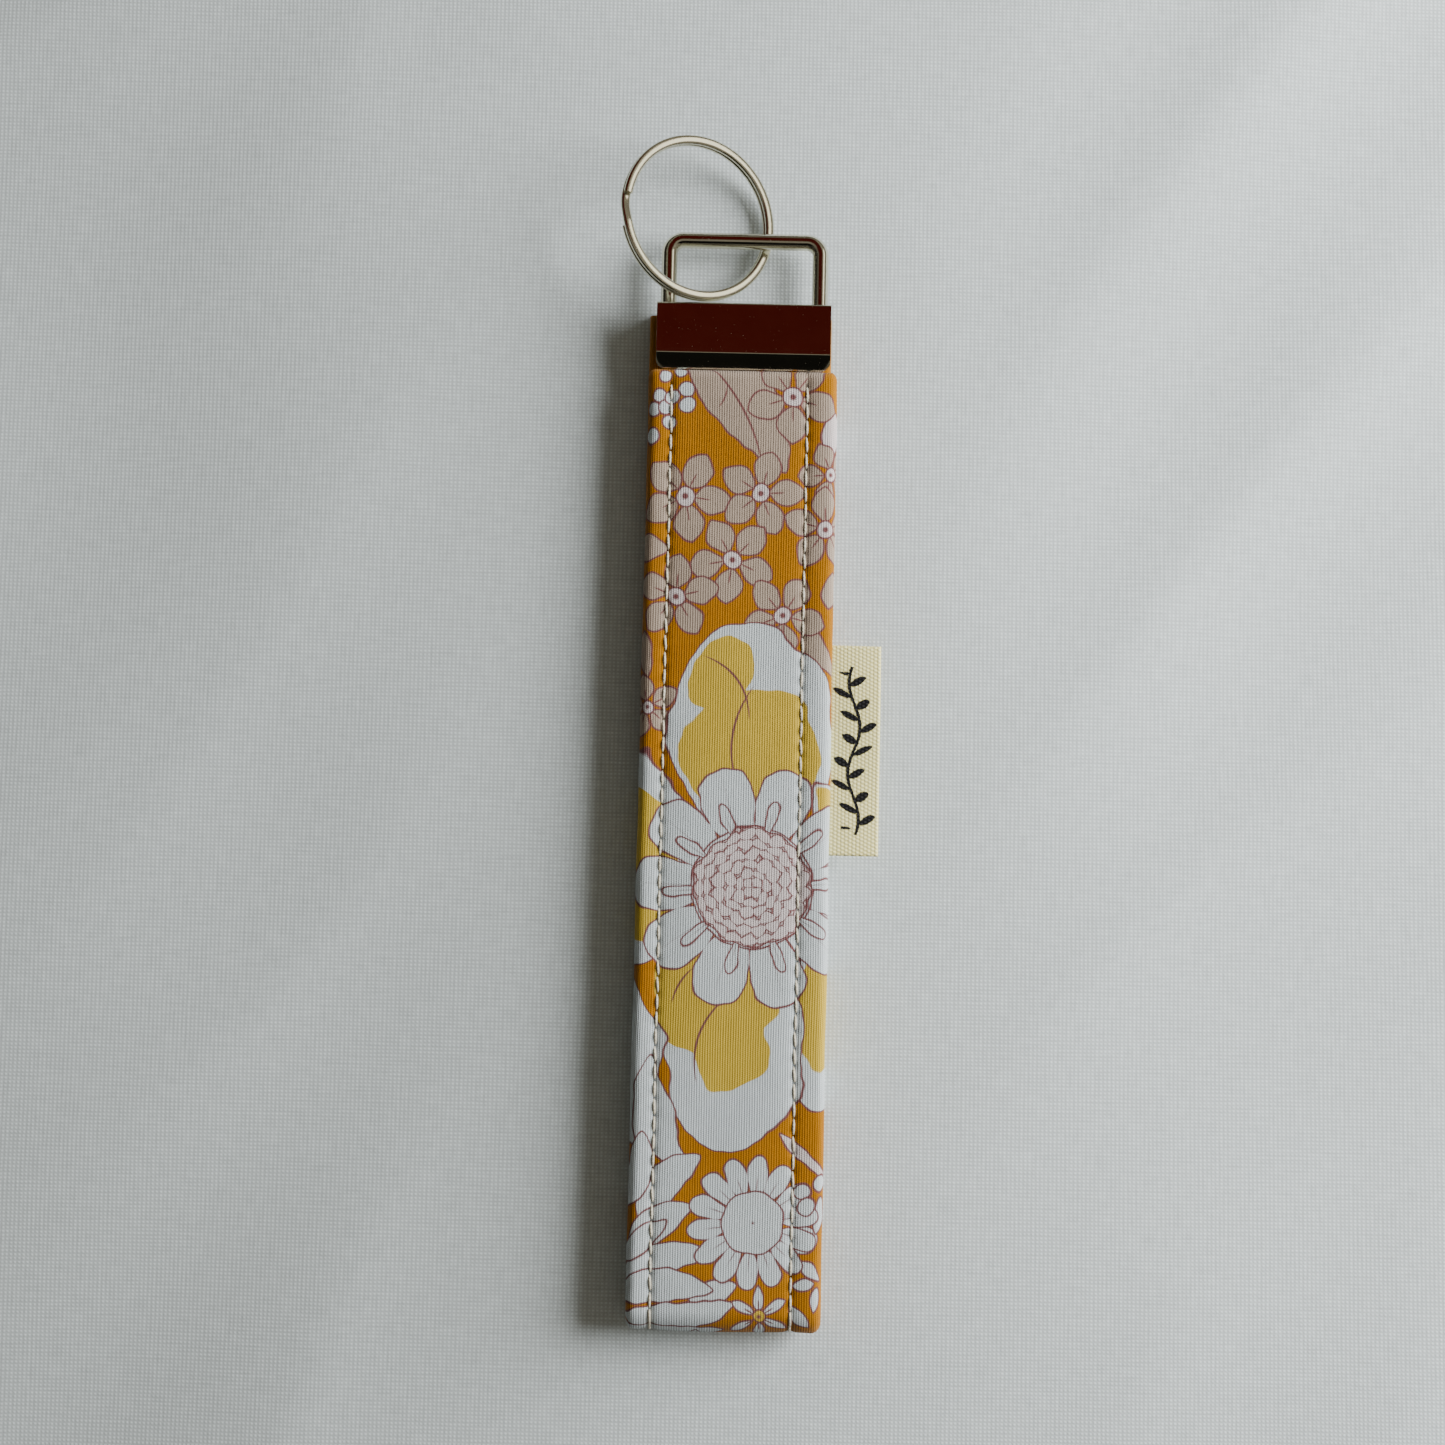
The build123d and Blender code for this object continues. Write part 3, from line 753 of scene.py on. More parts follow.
def pinch(start_y, end_y, z, side):
    """Stations where a layer thins from its full thickness to what the clamp leaves it."""
    pinched_z = MID_Z + side * (PINCHED_UPPER_Z - MID_Z)
    rows = []
    count = round(abs(end_y - start_y) / 0.25)
    for i in range(1, count + 1):
        share = i / count
        eased = share * share * (3 - 2 * share)
        y = start_y + (end_y - start_y) * share
        rows.append(station(
            y, z + (pinched_z - z) * eased, (0.0, side), MOUTH_Y - y,
            (LAYER + (PINCHED - LAYER) * eased) / 2,
            HALF_WIDTH + (PINCHED_WIDTH - HALF_WIDTH) * eased, PINCHED_SHIFT * eased,
        ))
    return rows


SEAM_Y = -100.0  # where the fold's mesh meets the lower layer's
GRIPPED_Y = (-3.0, -1.0, 1.0)  # rows inside the clamp
PINCH_LENGTH = 4.0
upper_rows = knuckle(mouth_hinge_y, UPPER_Z)
upper_rows += straight(mouth_hinge_y, FOLD_Y, UPPER_Z, 1)[1:]
upper_rows += fold(0, 90, 20)[1:]
fold_rows = fold(90, 180, 20) + straight(FOLD_Y, SEAM_Y, LOWER_Z, -1)[1:]
lower_rows = straight(SEAM_Y, MOUTH_Y - PINCH_LENGTH, LOWER_Z, -1)
lower_rows += pinch(MOUTH_Y - PINCH_LENGTH, MOUTH_Y + 0.5, LOWER_Z, -1)
lower_rows += [
    station(y, PINCHED_LOWER_Z, (0.0, -1), MOUTH_Y - y, PINCHED / 2, PINCHED_WIDTH,
            PINCHED_SHIFT)
    for y in (*GRIPPED_Y, STRAP_END_Y)
]
mouth_rows = [
    station(y, PINCHED_UPPER_Z, (0.0, 1), MOUTH_Y - y, PINCHED / 2, PINCHED_WIDTH,
            PINCHED_SHIFT)
    for y in (STRAP_END_Y, *GRIPPED_Y[::-1], MOUTH_Y, MOUTH_Y - 0.6, mouth_hinge_y + 0.3)
]
print("rows:", len(upper_rows), len(fold_rows), len(lower_rows), len(mouth_rows))

# %% [markdown]
# ### The section
# Points lie close together near the two seams, where the furrow is narrow, and further apart
# on the flats. Each point also knows how far round the sleeve it is, so that the print wraps
# over the edge as cloth does and comes back on the inner face.

# %% Mesh helpers
def linked(name, mesh):
    """An object of a mesh or a light, in the scene."""
    piece = bpy.data.objects.new(name, mesh)
    bpy.context.scene.collection.objects.link(piece)
    return piece


def closed_piece(build, name, material=None, recalculate=True):
    """Turns a closed bmesh into an object with its normals outwards."""
    if recalculate:
        bmesh.ops.recalc_face_normals(build, faces=build.faces)
    if build.calc_volume(signed=True) < 0:
        bmesh.ops.reverse_faces(build, faces=build.faces)
    mesh = bpy.data.meshes.new(name)
    build.to_mesh(mesh)
    build.free()
    if material:
        mesh.materials.append(material)
    return linked(name, mesh)


def plain_mesh_of(source, name):
    """A mesh object with the source's modifiers applied. The source is removed."""
    shown = source.evaluated_get(bpy.context.evaluated_depsgraph_get())
    mesh = bpy.data.meshes.new_from_object(shown)
    mesh.name = name
    bpy.data.objects.remove(source)
    return linked(name, mesh)


print("mesh helpers ready")

# %% Section of the strap
SWAY = 0.16  # mm that the sewing wanders to either side
CROWN = 0.12  # mm that the pad stands up between its seams
EDGE_STEPS = 7
furrow_steps = [0.2, 0.42, 0.66, 0.95, 1.35, 1.85]
flat_x = {0.0}
for seam_x in (LEFT_STITCH_X, RIGHT_STITCH_X):
    flat_x |= {seam_x} | {seam_x + s for s in furrow_steps} | {seam_x - s for s in furrow_steps}
flat_x |= {x * 0.9 for x in range(-8, 9)}
flat_reach = HALF_WIDTH - EDGE
flat_x = sorted(x for x in flat_x if abs(x) < flat_reach - 0.15)
flat_x = [-flat_reach, *flat_x, flat_reach]

# depth and half width in mm of the seam's narrow furrow, its wide one and a needle dimple
NARROW, WIDE, DIMPLE = (0.17, 0.5), (0.09, 1.5), (0.15, 0.55)
HOLE_LENGTH = 0.5  # mm of seam that a needle hole pulls down


def bell(distance, width):
    """1 at a distance of nothing, and next to nothing at twice the width."""
    return math.exp(-((distance / width) ** 2))


def seam_furrow(x, v):
    """How far the stitches pull a face in at a place, in mm."""
    from_hole = (v / STITCH_PITCH - round(v / STITCH_PITCH)) * STITCH_PITCH
    at_hole = bell(from_hole, HOLE_LENGTH)
    depth = 0.0
    for seam_x in (LEFT_STITCH_X, RIGHT_STITCH_X):
        off = abs(x - seam_x)
        depth += NARROW[0] * bell(off, NARROW[1]) + WIDE[0] * bell(off, WIDE[1])
        depth += DIMPLE[0] * at_hole * bell(off, DIMPLE[1])
    return depth


def crown(x):
    """How far a face stands up between its seams. It is flat outside them."""
    middle = (LEFT_STITCH_X + RIGHT_STITCH_X) / 2
    across = (x - middle) / (RIGHT_STITCH_X - LEFT_STITCH_X) * 2
    return CROWN * max(0.0, 1 - across * across)


def sway_at(v):
    """How far the sewing wanders to one side at a place along the strap."""
    return SWAY * noise.noise(Vector((v * 0.09, 3.0, 0.5)))


def swayed(x, sway):
    """A point's own share of the sway, which is weaker in the middle than at the edges."""
    return sway * (0.4 + 0.6 * abs(x) / HALF_WIDTH)


def unevenness(x, v, seed):
    """Slow lumps in the fleece, the same on every run."""
    broad = noise.noise(Vector((x * 0.11, v * 0.07, seed)))
    small = noise.noise(Vector((x * 0.38, v * 0.26, seed + 7.0)))
    return 0.13 * broad + 0.04 * small


def swell_at(x, v, face):
    """How far a face stands out at a place in all."""
    return crown(x) - seam_furrow(x, v) + unevenness(x, v, 11.0 * face)


def section_points(place):
    """The points round one station: where each is, and where it is on the printed cloth."""
    half, width, v = place["half"], place["width"], place["v"]
    normal_y, normal_z = place["normal"]
    edge = min(EDGE, half * 0.92)
    fullness = min(1.0, max(0.0, (half - PINCHED / 2) / (LAYER / 2 - PINCHED / 2)))
    sway = sway_at(v) * fullness
    outline = []
    for face in (1, -1):
        for x in flat_x if face > 0 else reversed(flat_x):
            swell = swell_at(x, v, face)
            outline.append((x / flat_reach * (width - edge), face * (half + swell * fullness), x))
        for step in range(1, EDGE_STEPS):
            turn = math.pi * step / EDGE_STEPS
            out = math.sin(turn)
            up = math.cos(turn) * (half - edge) / half + math.cos(turn) ** 3 * edge / half
            round_up = face * half * (0.35 * up + 0.65 * math.cos(turn))
            across = face * (width - edge + edge * out ** 0.75)
            wrapped = face * (flat_reach + 1.9 * math.sin(turn))
            outline.append((across, round_up, wrapped))
    points = []
    for across, out, wrapped in outline:
        lean = across + place["shift"] + swayed(across, sway)
        points.append((
            (lean, place["y"] + normal_y * out, place["z"] + normal_z * out), (wrapped, v),
        ))
    return points


def strap_mesh(name, rows, material):
    """Joins the sections of the rows into one closed mesh with the cloth's own map."""
    rings = [section_points(place) for place in rows]
    around = len(rings[0])
    build = bmesh.new()
    layer = build.loops.layers.uv.new("ClothMap")
    verts = [[build.verts.new(Vector(p) * MM) for p, _ in ring] for ring in rings]

    def face(corners):
        """corners are pairs of row and place in it."""
        made = build.faces.new([verts[i][j % around] for i, j in corners])
        made.smooth = True
        for loop, (i, j) in zip(made.loops, corners):
            loop[layer].uv = rings[i][j % around][1]
        return made

    for i in range(len(rows) - 1):
        for j in range(around):
            face([(i, j), (i, j + 1), (i + 1, j + 1), (i + 1, j)])
    first = face([(0, j) for j in reversed(range(around))])
    last = face([(len(rows) - 1, j) for j in range(around)])
    for end in (first, last):
        end.smooth = False
        for border in end.edges:
            border.smooth = False
    return closed_piece(build, name, material, recalculate=False)


strap_upper = strap_mesh("strap_upper_layer", upper_rows, cotton)
strap_fold = strap_mesh("strap_fold", fold_rows, cotton)
strap_lower = strap_mesh("strap_lower_layer", lower_rows, cotton)
strap_mouth = strap_mesh("strap_end_in_clamp", mouth_rows, cotton)

# %% [markdown]
# ### Placing the meshes
# Cloth has no hinge pins, and nothing here blends a mesh between the two bodies of a joint:
# each mesh only has its placement baked into its points.


def bend_along(piece):
    """Bakes a piece's placement into its mesh."""
    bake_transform(piece)


def bend_upper(piece):
    bend_along(piece)


def bend_fold(piece):
    bend_along(piece)


def bend_lower(piece):
    bend_along(piece)


bend_upper(strap_upper)
bend_fold(strap_fold)
bend_lower(strap_lower)
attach(strap_mouth, "hardware_and_near_arm")
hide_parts("cover_upper_near", "core_upper_near")
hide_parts("cover_upper_far", "core_upper_far")
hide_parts("cover_lower_far", "core_lower_far", "cover_lower_near",
            "core_lower_near")
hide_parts("cover_upper_end", "core_upper_end")
print("straps placed")

# %% [markdown]
# ## The stitches
# Two lines of lockstitch run along each layer. Placing hundreds of them by hand would take
# long and look even worse, so Geometry Nodes make one stitch, a short bowed thread with its
# ends down in the needle holes, and set a copy on each point of a point cloud. Every point
# knows which way is out of the cloth and which way is along the seam. A random lean gives
# each stitch the small slant that a needle leaves.

# %% Geometry Nodes: one stitch on every point
stitch_tree = bpy.data.node_groups.new("stitches on a seam", "GeometryNodeTree")
sockets = stitch_tree.interface
sockets.new_socket("Geometry", in_out="INPUT", socket_type="NodeSocketGeometry")
for label, value in {"Stitch length": 0.0021, "Thread width": 0.00040, "Rise": 0.00034,
                     "Lean": 0.10}.items():
    sockets.new_socket(label, in_out="INPUT", socket_type="NodeSocketFloat").default_value = value
sockets.new_socket("Seed", in_out="INPUT", socket_type="NodeSocketInt").default_value = 5
sockets.new_socket("Thread", in_out="INPUT", socket_type="NodeSocketMaterial")
sockets.new_socket("Geometry", in_out="OUTPUT", socket_type="NodeSocketGeometry")
g = Recipe(stitch_tree)
given = stitch_tree.nodes.new("NodeGroupInput").outputs
half_stitch = g.times(given["Stitch length"], 0.5)
minus_rise = g.times(given["Rise"], -1.0)
bow = g.make("GeometryNodeCurveQuadraticBezier", {
    "Resolution": 9, "Middle": g.vector(0.0, 0.0, given["Rise"]),
    "Start": g.vector(g.times(half_stitch, -1.0), 0.0, minus_rise),
    "End": g.vector(half_stitch, 0.0, minus_rise),
}).outputs[0]
strand = g.make("GeometryNodeCurvePrimitiveCircle", {
    "Resolution": 8, "Radius": g.times(given["Thread width"], 0.5),
}).outputs[0]


def stored(geometry, name, value, kind, domain):
    """geometry with a value kept on it under a name."""
    node = g.make("GeometryNodeStoreNamedAttribute", {"Geometry": geometry, "Name": name},
                  data_type=kind, domain=domain)
    g.plug(next(s for s in node.inputs if s.name == "Value" and s.enabled), value)
    return node.outputs[0]


def kept_value(name, kind):
    """Reads back what stored() or the point cloud keeps under a name."""
    return g.make("GeometryNodeInputNamedAttribute", {"Name": name}, data_type=kind).outputs[0]


along_thread = g.add("GeometryNodeSplineParameter").outputs["Length"]
around_thread = g.add("GeometryNodeSplineParameter").outputs["Factor"]
tube = g.make("GeometryNodeCurveToMesh", {
    "Curve": stored(bow, "thread_along", along_thread, "FLOAT", "POINT"),
    "Profile Curve": stored(strand, "thread_around", around_thread, "FLOAT", "POINT"),
    "Fill Caps": True,
}).outputs[0]
length_mm = g.times(kept_value("thread_along", "FLOAT"), 1.0 / MM)
thread_map = g.vector(kept_value("thread_around", "FLOAT"), length_mm, 0.0)
stitch = stored(tube, "ThreadMap", thread_map, "FLOAT2", "CORNER")

facing = g.add("FunctionNodeAxesToRotation", kept_value("outward", "FLOAT_VECTOR"),
               kept_value("along", "FLOAT_VECTOR"), primary_axis="Z", secondary_axis="X")
slant = g.add("FunctionNodeRandomValue", data_type="FLOAT")
random_ends = [s for s in slant.inputs if s.enabled and s.name in ("Min", "Max")]
g.plug(random_ends[0], g.times(given["Lean"], -0.5))
g.plug(random_ends[1], given["Lean"])
g.plug(slant.inputs["Seed"], given["Seed"])
slant_value = next(s for s in slant.outputs if s.enabled)
lean = g.add("FunctionNodeEulerToRotation", g.vector(0.0, 0.0, slant_value))
leaning = g.add("FunctionNodeRotateRotation", facing.outputs[0], lean.outputs[0],
                rotation_space="LOCAL")
placed = g.make("GeometryNodeInstanceOnPoints", {
    "Points": given["Geometry"], "Instance": stitch, "Rotation": leaning.outputs[0],
})
real = g.add("GeometryNodeRealizeInstances", placed.outputs[0])
smooth = g.add("GeometryNodeSetShadeSmooth", real.outputs[0])
coloured = g.make("GeometryNodeSetMaterial",
                  {"Geometry": smooth.outputs[0], "Material": given["Thread"]})
g.add("NodeGroupOutput", coloured.outputs[0])
print("stitch tree:", len(stitch_tree.nodes), "nodes")


# %% Stitches along the path
THREAD_LIFT = 0.08  # mm that the thread's middle stands above the cloth


def seam_places(rows, first_v, last_v, faces=(1, -1)):
    """Where stitches sit on some rows: place, outward direction and seam direction."""
    places = []
    for before, after in zip(rows, rows[1:]):
        low, high = sorted((before["v"], after["v"]))
        for step in range(math.ceil(first_v / STITCH_PITCH), int(last_v / STITCH_PITCH) + 1):
            v = (step + 0.5) * STITCH_PITCH
            if not (low <= v < high and first_v <= v <= last_v):
                continue
            share = (v - before["v"]) / (after["v"] - before["v"])
            y, z, normal_y, normal_z = (
                a + (b - a) * share for a, b in (
                    (before["y"], after["y"]), (before["z"], after["z"]),
                    (before["normal"][0], after["normal"][0]),
                    (before["normal"][1], after["normal"][1]),
                )
            )
            sway = sway_at(v)
            for seam_x in (LEFT_STITCH_X, RIGHT_STITCH_X):
                for face in faces:
                    lift = swell_at(seam_x, v, face)
                    out = face * (LAYER / 2 + lift + THREAD_LIFT)
                    x = seam_x + swayed(seam_x, sway)
                    places.append((
                        Vector((x, y + normal_y * out, z + normal_z * out)),
                        Vector((0, normal_y * face, normal_z * face)).normalized(),
                        Vector((0, normal_z, -normal_y)).normalized(),
                    ))
    return places


def sew(name, places):
    """Runs the stitch tree on a cloud of points and keeps its result as a plain mesh."""
    points = bpy.data.meshes.new(name + "_points")
    points.from_pydata([tuple(place * MM) for place, _, _ in places], [], [])
    for label, column in (("outward", 1), ("along", 2)):
        kept = points.attributes.new(label, "FLOAT_VECTOR", "POINT")
        kept.data.foreach_set("vector", np.array([row[column] for row in places]).ravel())
    cloud = linked(name + "_points", points)
    sewing = cloud.modifiers.new("sewing", "NODES")
    sewing.node_group = stitch_tree
    named = {item.name: item.identifier for item in stitch_tree.interface.items_tree
             if item.in_out == "INPUT"}
    sewing[named["Thread"]] = thread
    sewing[named["Seed"]] = 5
    piece = plain_mesh_of(cloud, name)
    print(name, len(places), "stitches,", len(piece.data.polygons), "faces,",
          "map:", [layer.name for layer in piece.data.uv_layers])
    return piece


FOLD_TIP_V = MOUTH_Y - FOLD_Y + FOLD_RADIUS * math.pi / 2
stitches_upper = sew(
    "stitches_upper",
    seam_places(upper_rows[8:], 1.6, MOUTH_Y - FOLD_Y)
    + seam_places(upper_rows[8:], MOUTH_Y - FOLD_Y, FOLD_TIP_V - 1.0, faces=(1,)),
)
stitches_fold = sew(
    "stitches_fold",
    seam_places(fold_rows, MOUTH_Y - FOLD_Y, FOLD_TIP_V - 1.0, faces=(1,))
    + seam_places(fold_rows, MOUTH_Y - SEAM_Y, MOUTH_Y - FOLD_Y),
)
stitches_lower = sew("stitches_lower", seam_places(lower_rows, 6.0, MOUTH_Y - SEAM_Y))
bend_upper(stitches_upper)
bend_fold(stitches_fold)
bend_lower(stitches_lower)
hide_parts("thread_left_upper_near", "thread_right_upper_near")
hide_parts("thread_left_upper_far", "thread_right_upper_far")
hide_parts("thread_left_lower_near", "thread_right_lower_near",
            "thread_left_lower_far", "thread_right_lower_far")

# %% [markdown]
# ## The clamp
# The clamp is one strip of sheet metal, bent into a U and pressed shut on the strap. Its
# bends are crisp, and both mouths end in a lip that is turned in, with rounded corners.
# A cube with bevels would miss the lips. So the profile is drawn as one line, given
# its thickness by shifting it inwards, and carried across the width in steps that are close
# together where the lip's corners round off. Two holes in the spine let the frame's legs in.

# %% Clamp
SHEET = 0.8
LIP_LENGTH = 2.3
LIP_DROP = 1.0
LIP_CORNER = 1.3
HOLE_RADIUS = 1.25


def softened(points, radii, steps=5):
    """A line through points with each corner rounded to its radius."""
    line = [points[0]]
    for before, corner, after, radius in zip(points, points[1:], points[2:], radii):
        to_before = (before - corner).normalized()
        to_after = (after - corner).normalized()
        half_angle = to_before.angle(to_after) / 2
        reach = radius / math.tan(half_angle)
        first, last = corner + to_before * reach, corner + to_after * reach
        for i in range(steps + 1):
            t = i / steps
            line.append(first.lerp(corner, t).lerp(corner.lerp(last, t), t))
    return [*line, points[-1]]


def clamp_profile(shorter):
    """The closed outline of the bent sheet, with its lips shorter by an amount."""
    lip = Vector((-LIP_LENGTH, LIP_DROP))
    lip_end = lip * (1 - shorter / lip.length)
    fold_y = MOUTH_Y + LIP_LENGTH
    path = [
        Vector((fold_y, 0)) + lip_end, Vector((fold_y, 0)), Vector((SPINE_Y, 0)),
        Vector((SPINE_Y, STACK)), Vector((fold_y, STACK)),
        Vector((fold_y, STACK)) + Vector((lip_end.x, -lip_end.y)),
    ]
    ways = [(b - a).normalized() for a, b in zip(path, path[1:])]
    inwards = [Vector((-way.y, way.x)) for way in ways]
    inner = [path[0] + inwards[0] * SHEET]
    for corner, before, after in zip(path[1:], inwards, inwards[1:]):
        inner.append(corner + (before + after) / (1 + before.dot(after)) * SHEET)
    inner.append(path[-1] + inwards[-1] * SHEET)
    outer_line = softened(path, (0.5, 0.55, 0.55, 0.5))
    inner_line = softened(inner, (0.2, 0.12, 0.12, 0.2))
    return outer_line + inner_line[::-1]


def clamp_mesh():
    """The bent sheet, closed at both sides."""
    half = clamp_high.x
    corner_x = [half - LIP_CORNER * (1 - math.sin(math.pi / 2 * i / 8)) for i in range(9)]
    places = sorted([-x for x in corner_x] + corner_x)
    build = bmesh.new()
    rings = []
    for x in places:
        past = max(0.0, abs(x) - (half - LIP_CORNER))
        shorter = LIP_CORNER - math.sqrt(max(0.0, LIP_CORNER ** 2 - past ** 2))
        rings.append([build.verts.new(Vector((x, p.x, p.y)) * MM) for p in clamp_profile(shorter)])
    count = len(rings[0])
    for before, after in zip(rings, rings[1:]):
        for j in range(count):
            k = (j + 1) % count
            build.faces.new((before[j], before[k], after[k], after[j]))
    build.faces.new(rings[0])
    build.faces.new(rings[-1][::-1])
    return closed_piece(build, "clamp_sheet")


frame_low, frame_high = node_box("wire_frame")
LEG_X = clamp_high.x - 1.6
LEG_Z = (frame_low.z + frame_high.z) / 2
sheet = clamp_mesh()
drills = []
for side in (-1, 1):
    bpy.ops.mesh.primitive_cylinder_add(
        vertices=48, radius=HOLE_RADIUS * MM, depth=4 * MM,
        location=Vector((side * LEG_X, SPINE_Y, LEG_Z)) * MM, rotation=(math.pi / 2, 0, 0),
    )
    drill = bpy.context.object
    cut = sheet.modifiers.new("leg_hole", "BOOLEAN")
    cut.object = drill
    cut.solver = "EXACT"
    drills.append(drill)
softened_edges = sheet.modifiers.new("worn_edges", "BEVEL")
softened_edges.width = 0.11 * MM
softened_edges.segments = 2
softened_edges.limit_method = "ANGLE"
softened_edges.angle_limit = math.radians(50)
softened_edges.harden_normals = True
bpy.context.view_layer.update()
clamp = plain_mesh_of(sheet, "crimped_clamp")
for drill in drills:
    bpy.data.objects.remove(drill)
clamp.data.materials.clear()
clamp.data.materials.append(clamp_nickel)
for polygon in clamp.data.polygons:
    polygon.use_smooth = True
clamp.data.set_sharp_from_angle(angle=math.radians(35))
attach(clamp, "hardware_and_near_arm")
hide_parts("clamp")
print("clamp:", len(clamp.data.polygons), "faces")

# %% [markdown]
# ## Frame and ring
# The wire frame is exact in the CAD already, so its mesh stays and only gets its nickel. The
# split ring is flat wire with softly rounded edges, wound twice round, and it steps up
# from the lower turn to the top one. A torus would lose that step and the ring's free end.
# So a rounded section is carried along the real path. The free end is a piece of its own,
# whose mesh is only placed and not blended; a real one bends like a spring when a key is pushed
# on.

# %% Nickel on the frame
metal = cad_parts["wire_frame"].data
metal.materials.clear()
metal.materials.append(frame_nickel)

# %% Split ring
RING_TILT = math.radians(26)
RING_RADIUS = 11.8
WIRE_BROAD = 1.4
WIRE_THICK = 0.73
TURN_RISE = 0.77
SQUARE_ACROSS, SQUARE_UP = 0.62, 0.80  # 1 is an ellipse, and less is squarer
DEGREES_PER_ROW, WIRE_SIDES = 2.5, 28
STEP_START, STEP_END = 172, 194  # degrees round the ring
FREE_ROOT, FREE_TIP = 82, 170.5

coil_low, coil_high = node_box("split_ring")
ring_x = Vector((math.cos(RING_TILT), 0, -math.sin(RING_TILT)))
ring_y = Vector((0, 1, 0))
ring_z = Vector((math.sin(RING_TILT), 0, math.cos(RING_TILT)))
outside = RING_RADIUS + WIRE_BROAD / 2
ring_centre = Vector((
    coil_low.x + outside * ring_x.x + (TURN_RISE + WIRE_THICK) / 2 * ring_z.x,
    (coil_low.y + coil_high.y) / 2,
    coil_low.z + outside * -ring_x.z + (TURN_RISE + WIRE_THICK) / 2 * ring_z.z,
))
print("ring centre:", [round(c, 2) for c in ring_centre])


def ring_place(degrees, height):
    """A place on the middle of the wire, and the direction out from the ring's middle."""
    angle = math.radians(degrees)
    out = ring_x * math.cos(angle) + ring_y * math.sin(angle)
    return ring_centre + out * RING_RADIUS + ring_z * height, out


def wire_height(degrees):
    """Height of the wire above the ring's middle, with degrees counted from STEP_END on."""
    into_step = (degrees - 360 - STEP_START) / (STEP_END - STEP_START)
    share = min(1.0, max(0.0, into_step))
    return TURN_RISE * (share * share * (3 - 2 * share) - 0.5)


def wound_wire(name, first, last, height_of):
    """Carries the wire's section round the ring between two angles."""
    count = round((last - first) / DEGREES_PER_ROW)
    build = bmesh.new()
    rings = []
    for i in range(count + 1):
        degrees = first + (last - first) * i / count
        place, out = ring_place(degrees, height_of(degrees))
        ring = []
        for k in range(WIRE_SIDES):
            turn = math.tau * k / WIRE_SIDES
            c, s = math.cos(turn), math.sin(turn)
            wide = math.copysign(abs(c) ** SQUARE_ACROSS, c) * WIRE_BROAD / 2
            high = math.copysign(abs(s) ** SQUARE_UP, s) * WIRE_THICK / 2
            ring.append(build.verts.new((place + out * wide + ring_z * high) * MM))
        rings.append(ring)
    for before, after in zip(rings, rings[1:]):
        for k in range(WIRE_SIDES):
            n = (k + 1) % WIRE_SIDES
            build.faces.new((before[k], before[n], after[n], after[k])).smooth = True
    for end in (build.faces.new(rings[0][::-1]), build.faces.new(rings[-1])):
        for border in end.edges:
            border.smooth = False
    return closed_piece(build, name, ring_nickel)


coil = wound_wire("ring_coil", STEP_END, 720 + FREE_ROOT, wire_height)
free_end = wound_wire("ring_free_tip", FREE_ROOT, FREE_TIP, lambda degrees: TURN_RISE / 2)
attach(coil, "ring")
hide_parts("split_ring")
bend_along(free_end)
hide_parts("ring_free_end")
print("ring:", len(coil.data.polygons) + len(free_end.data.polygons), "faces")

# %% [markdown]
# ## The label
# A folded tape label is caught in the right-hand seam and stands out to the side. It is a
# woven ribbed tape, with knots in columns and a firmer edge, and its maker's words are
# left off: a black woven sprig with leaves runs along it instead. It is one thin closed
# sheet, bowed by a tenth of a millimetre or two, because tape never lies quite flat.

# %% Material: label tape
label_low, label_high = node_box("label_flap")
sewn_low, _ = node_box("label_sewn_in")
LABEL_INNER_X = sewn_low.x
LABEL_OUTER_X = label_high.x
LABEL_Z = (label_low.z + label_high.z) / 2
LABEL_MIDDLE_Y = (label_low.y + label_high.y) / 2
LABEL_THICKNESS = label_high.z - label_low.z

tape, r, shader = new_material("label_tape")
u, v = cloth_position(r)
KNOT_PITCH = 0.56
column = r.over(u, KNOT_PITCH)
across_knot = r.math("ABSOLUTE", r.math("SINE", r.times(column, math.pi)))
half_step = r.times(r.math("FLOOR", column), math.pi)
along_phase = r.fit(v, math.tau / KNOT_PITCH, half_step)
along_knot = r.fit(r.math("SINE", along_phase), 0.5, 0.5)
knot = r.times(across_knot, along_knot)
flat = r.vector(u, v)
yarn = r.noise(r.stretch(flat, (3.0, 9.0, 1.0)), 1.0, 3.0, 0.6)
cream = r.mix(knot, (0.72, 0.62, 0.20, 1.0), (0.98, 0.92, 0.48, 1.0))
cream = r.mix(r.times(yarn, 0.25), cream, (0.92, 0.88, 0.66, 1.0))

STEM_X = LABEL_INNER_X + 6.0 + 3.4
jag = r.fit(r.noise(flat, 3.0, 1.0), 0.24, -0.12)
sweep = r.times(r.math("SINE", r.times(v, math.tau / 13.5)), 0.85)
from_stem = r.minus(r.minus(u, STEM_X), sweep)
stem = r.minus(r.math("ABSOLUTE", from_stem), 0.26)
stem_ends = r.minus(r.math("ABSOLUTE", v), 12.4)
sprig = r.plus(r.math("MAXIMUM", stem, stem_ends), jag)
for side, start in ((1, 0.0), (-1, 1.7)):
    shifted = r.over(r.minus(v, start), 3.4)
    beside = r.times(r.minus(shifted, r.math("ROUND", shifted)), 3.4)
    out = r.fit(from_stem, side, -1.25)
    tipped = r.minus(beside, r.times(out, 0.45))
    leaf = shape_distance(r, out, tipped, 1.25, 0.62, 1.5)
    kept = r.math("MAXIMUM", leaf, r.minus(r.math("ABSOLUTE", v), 11.6))
    sprig = r.math("MINIMUM", sprig, r.plus(kept, jag))
in_sprig = r.inside(sprig, 0.14)
woven = r.mix(in_sprig, cream, r.mix(knot, (0.004, 0.004, 0.005, 1.0), (0.028, 0.027, 0.028, 1.0)))
r.plug(shader.inputs["Base Color"], woven)
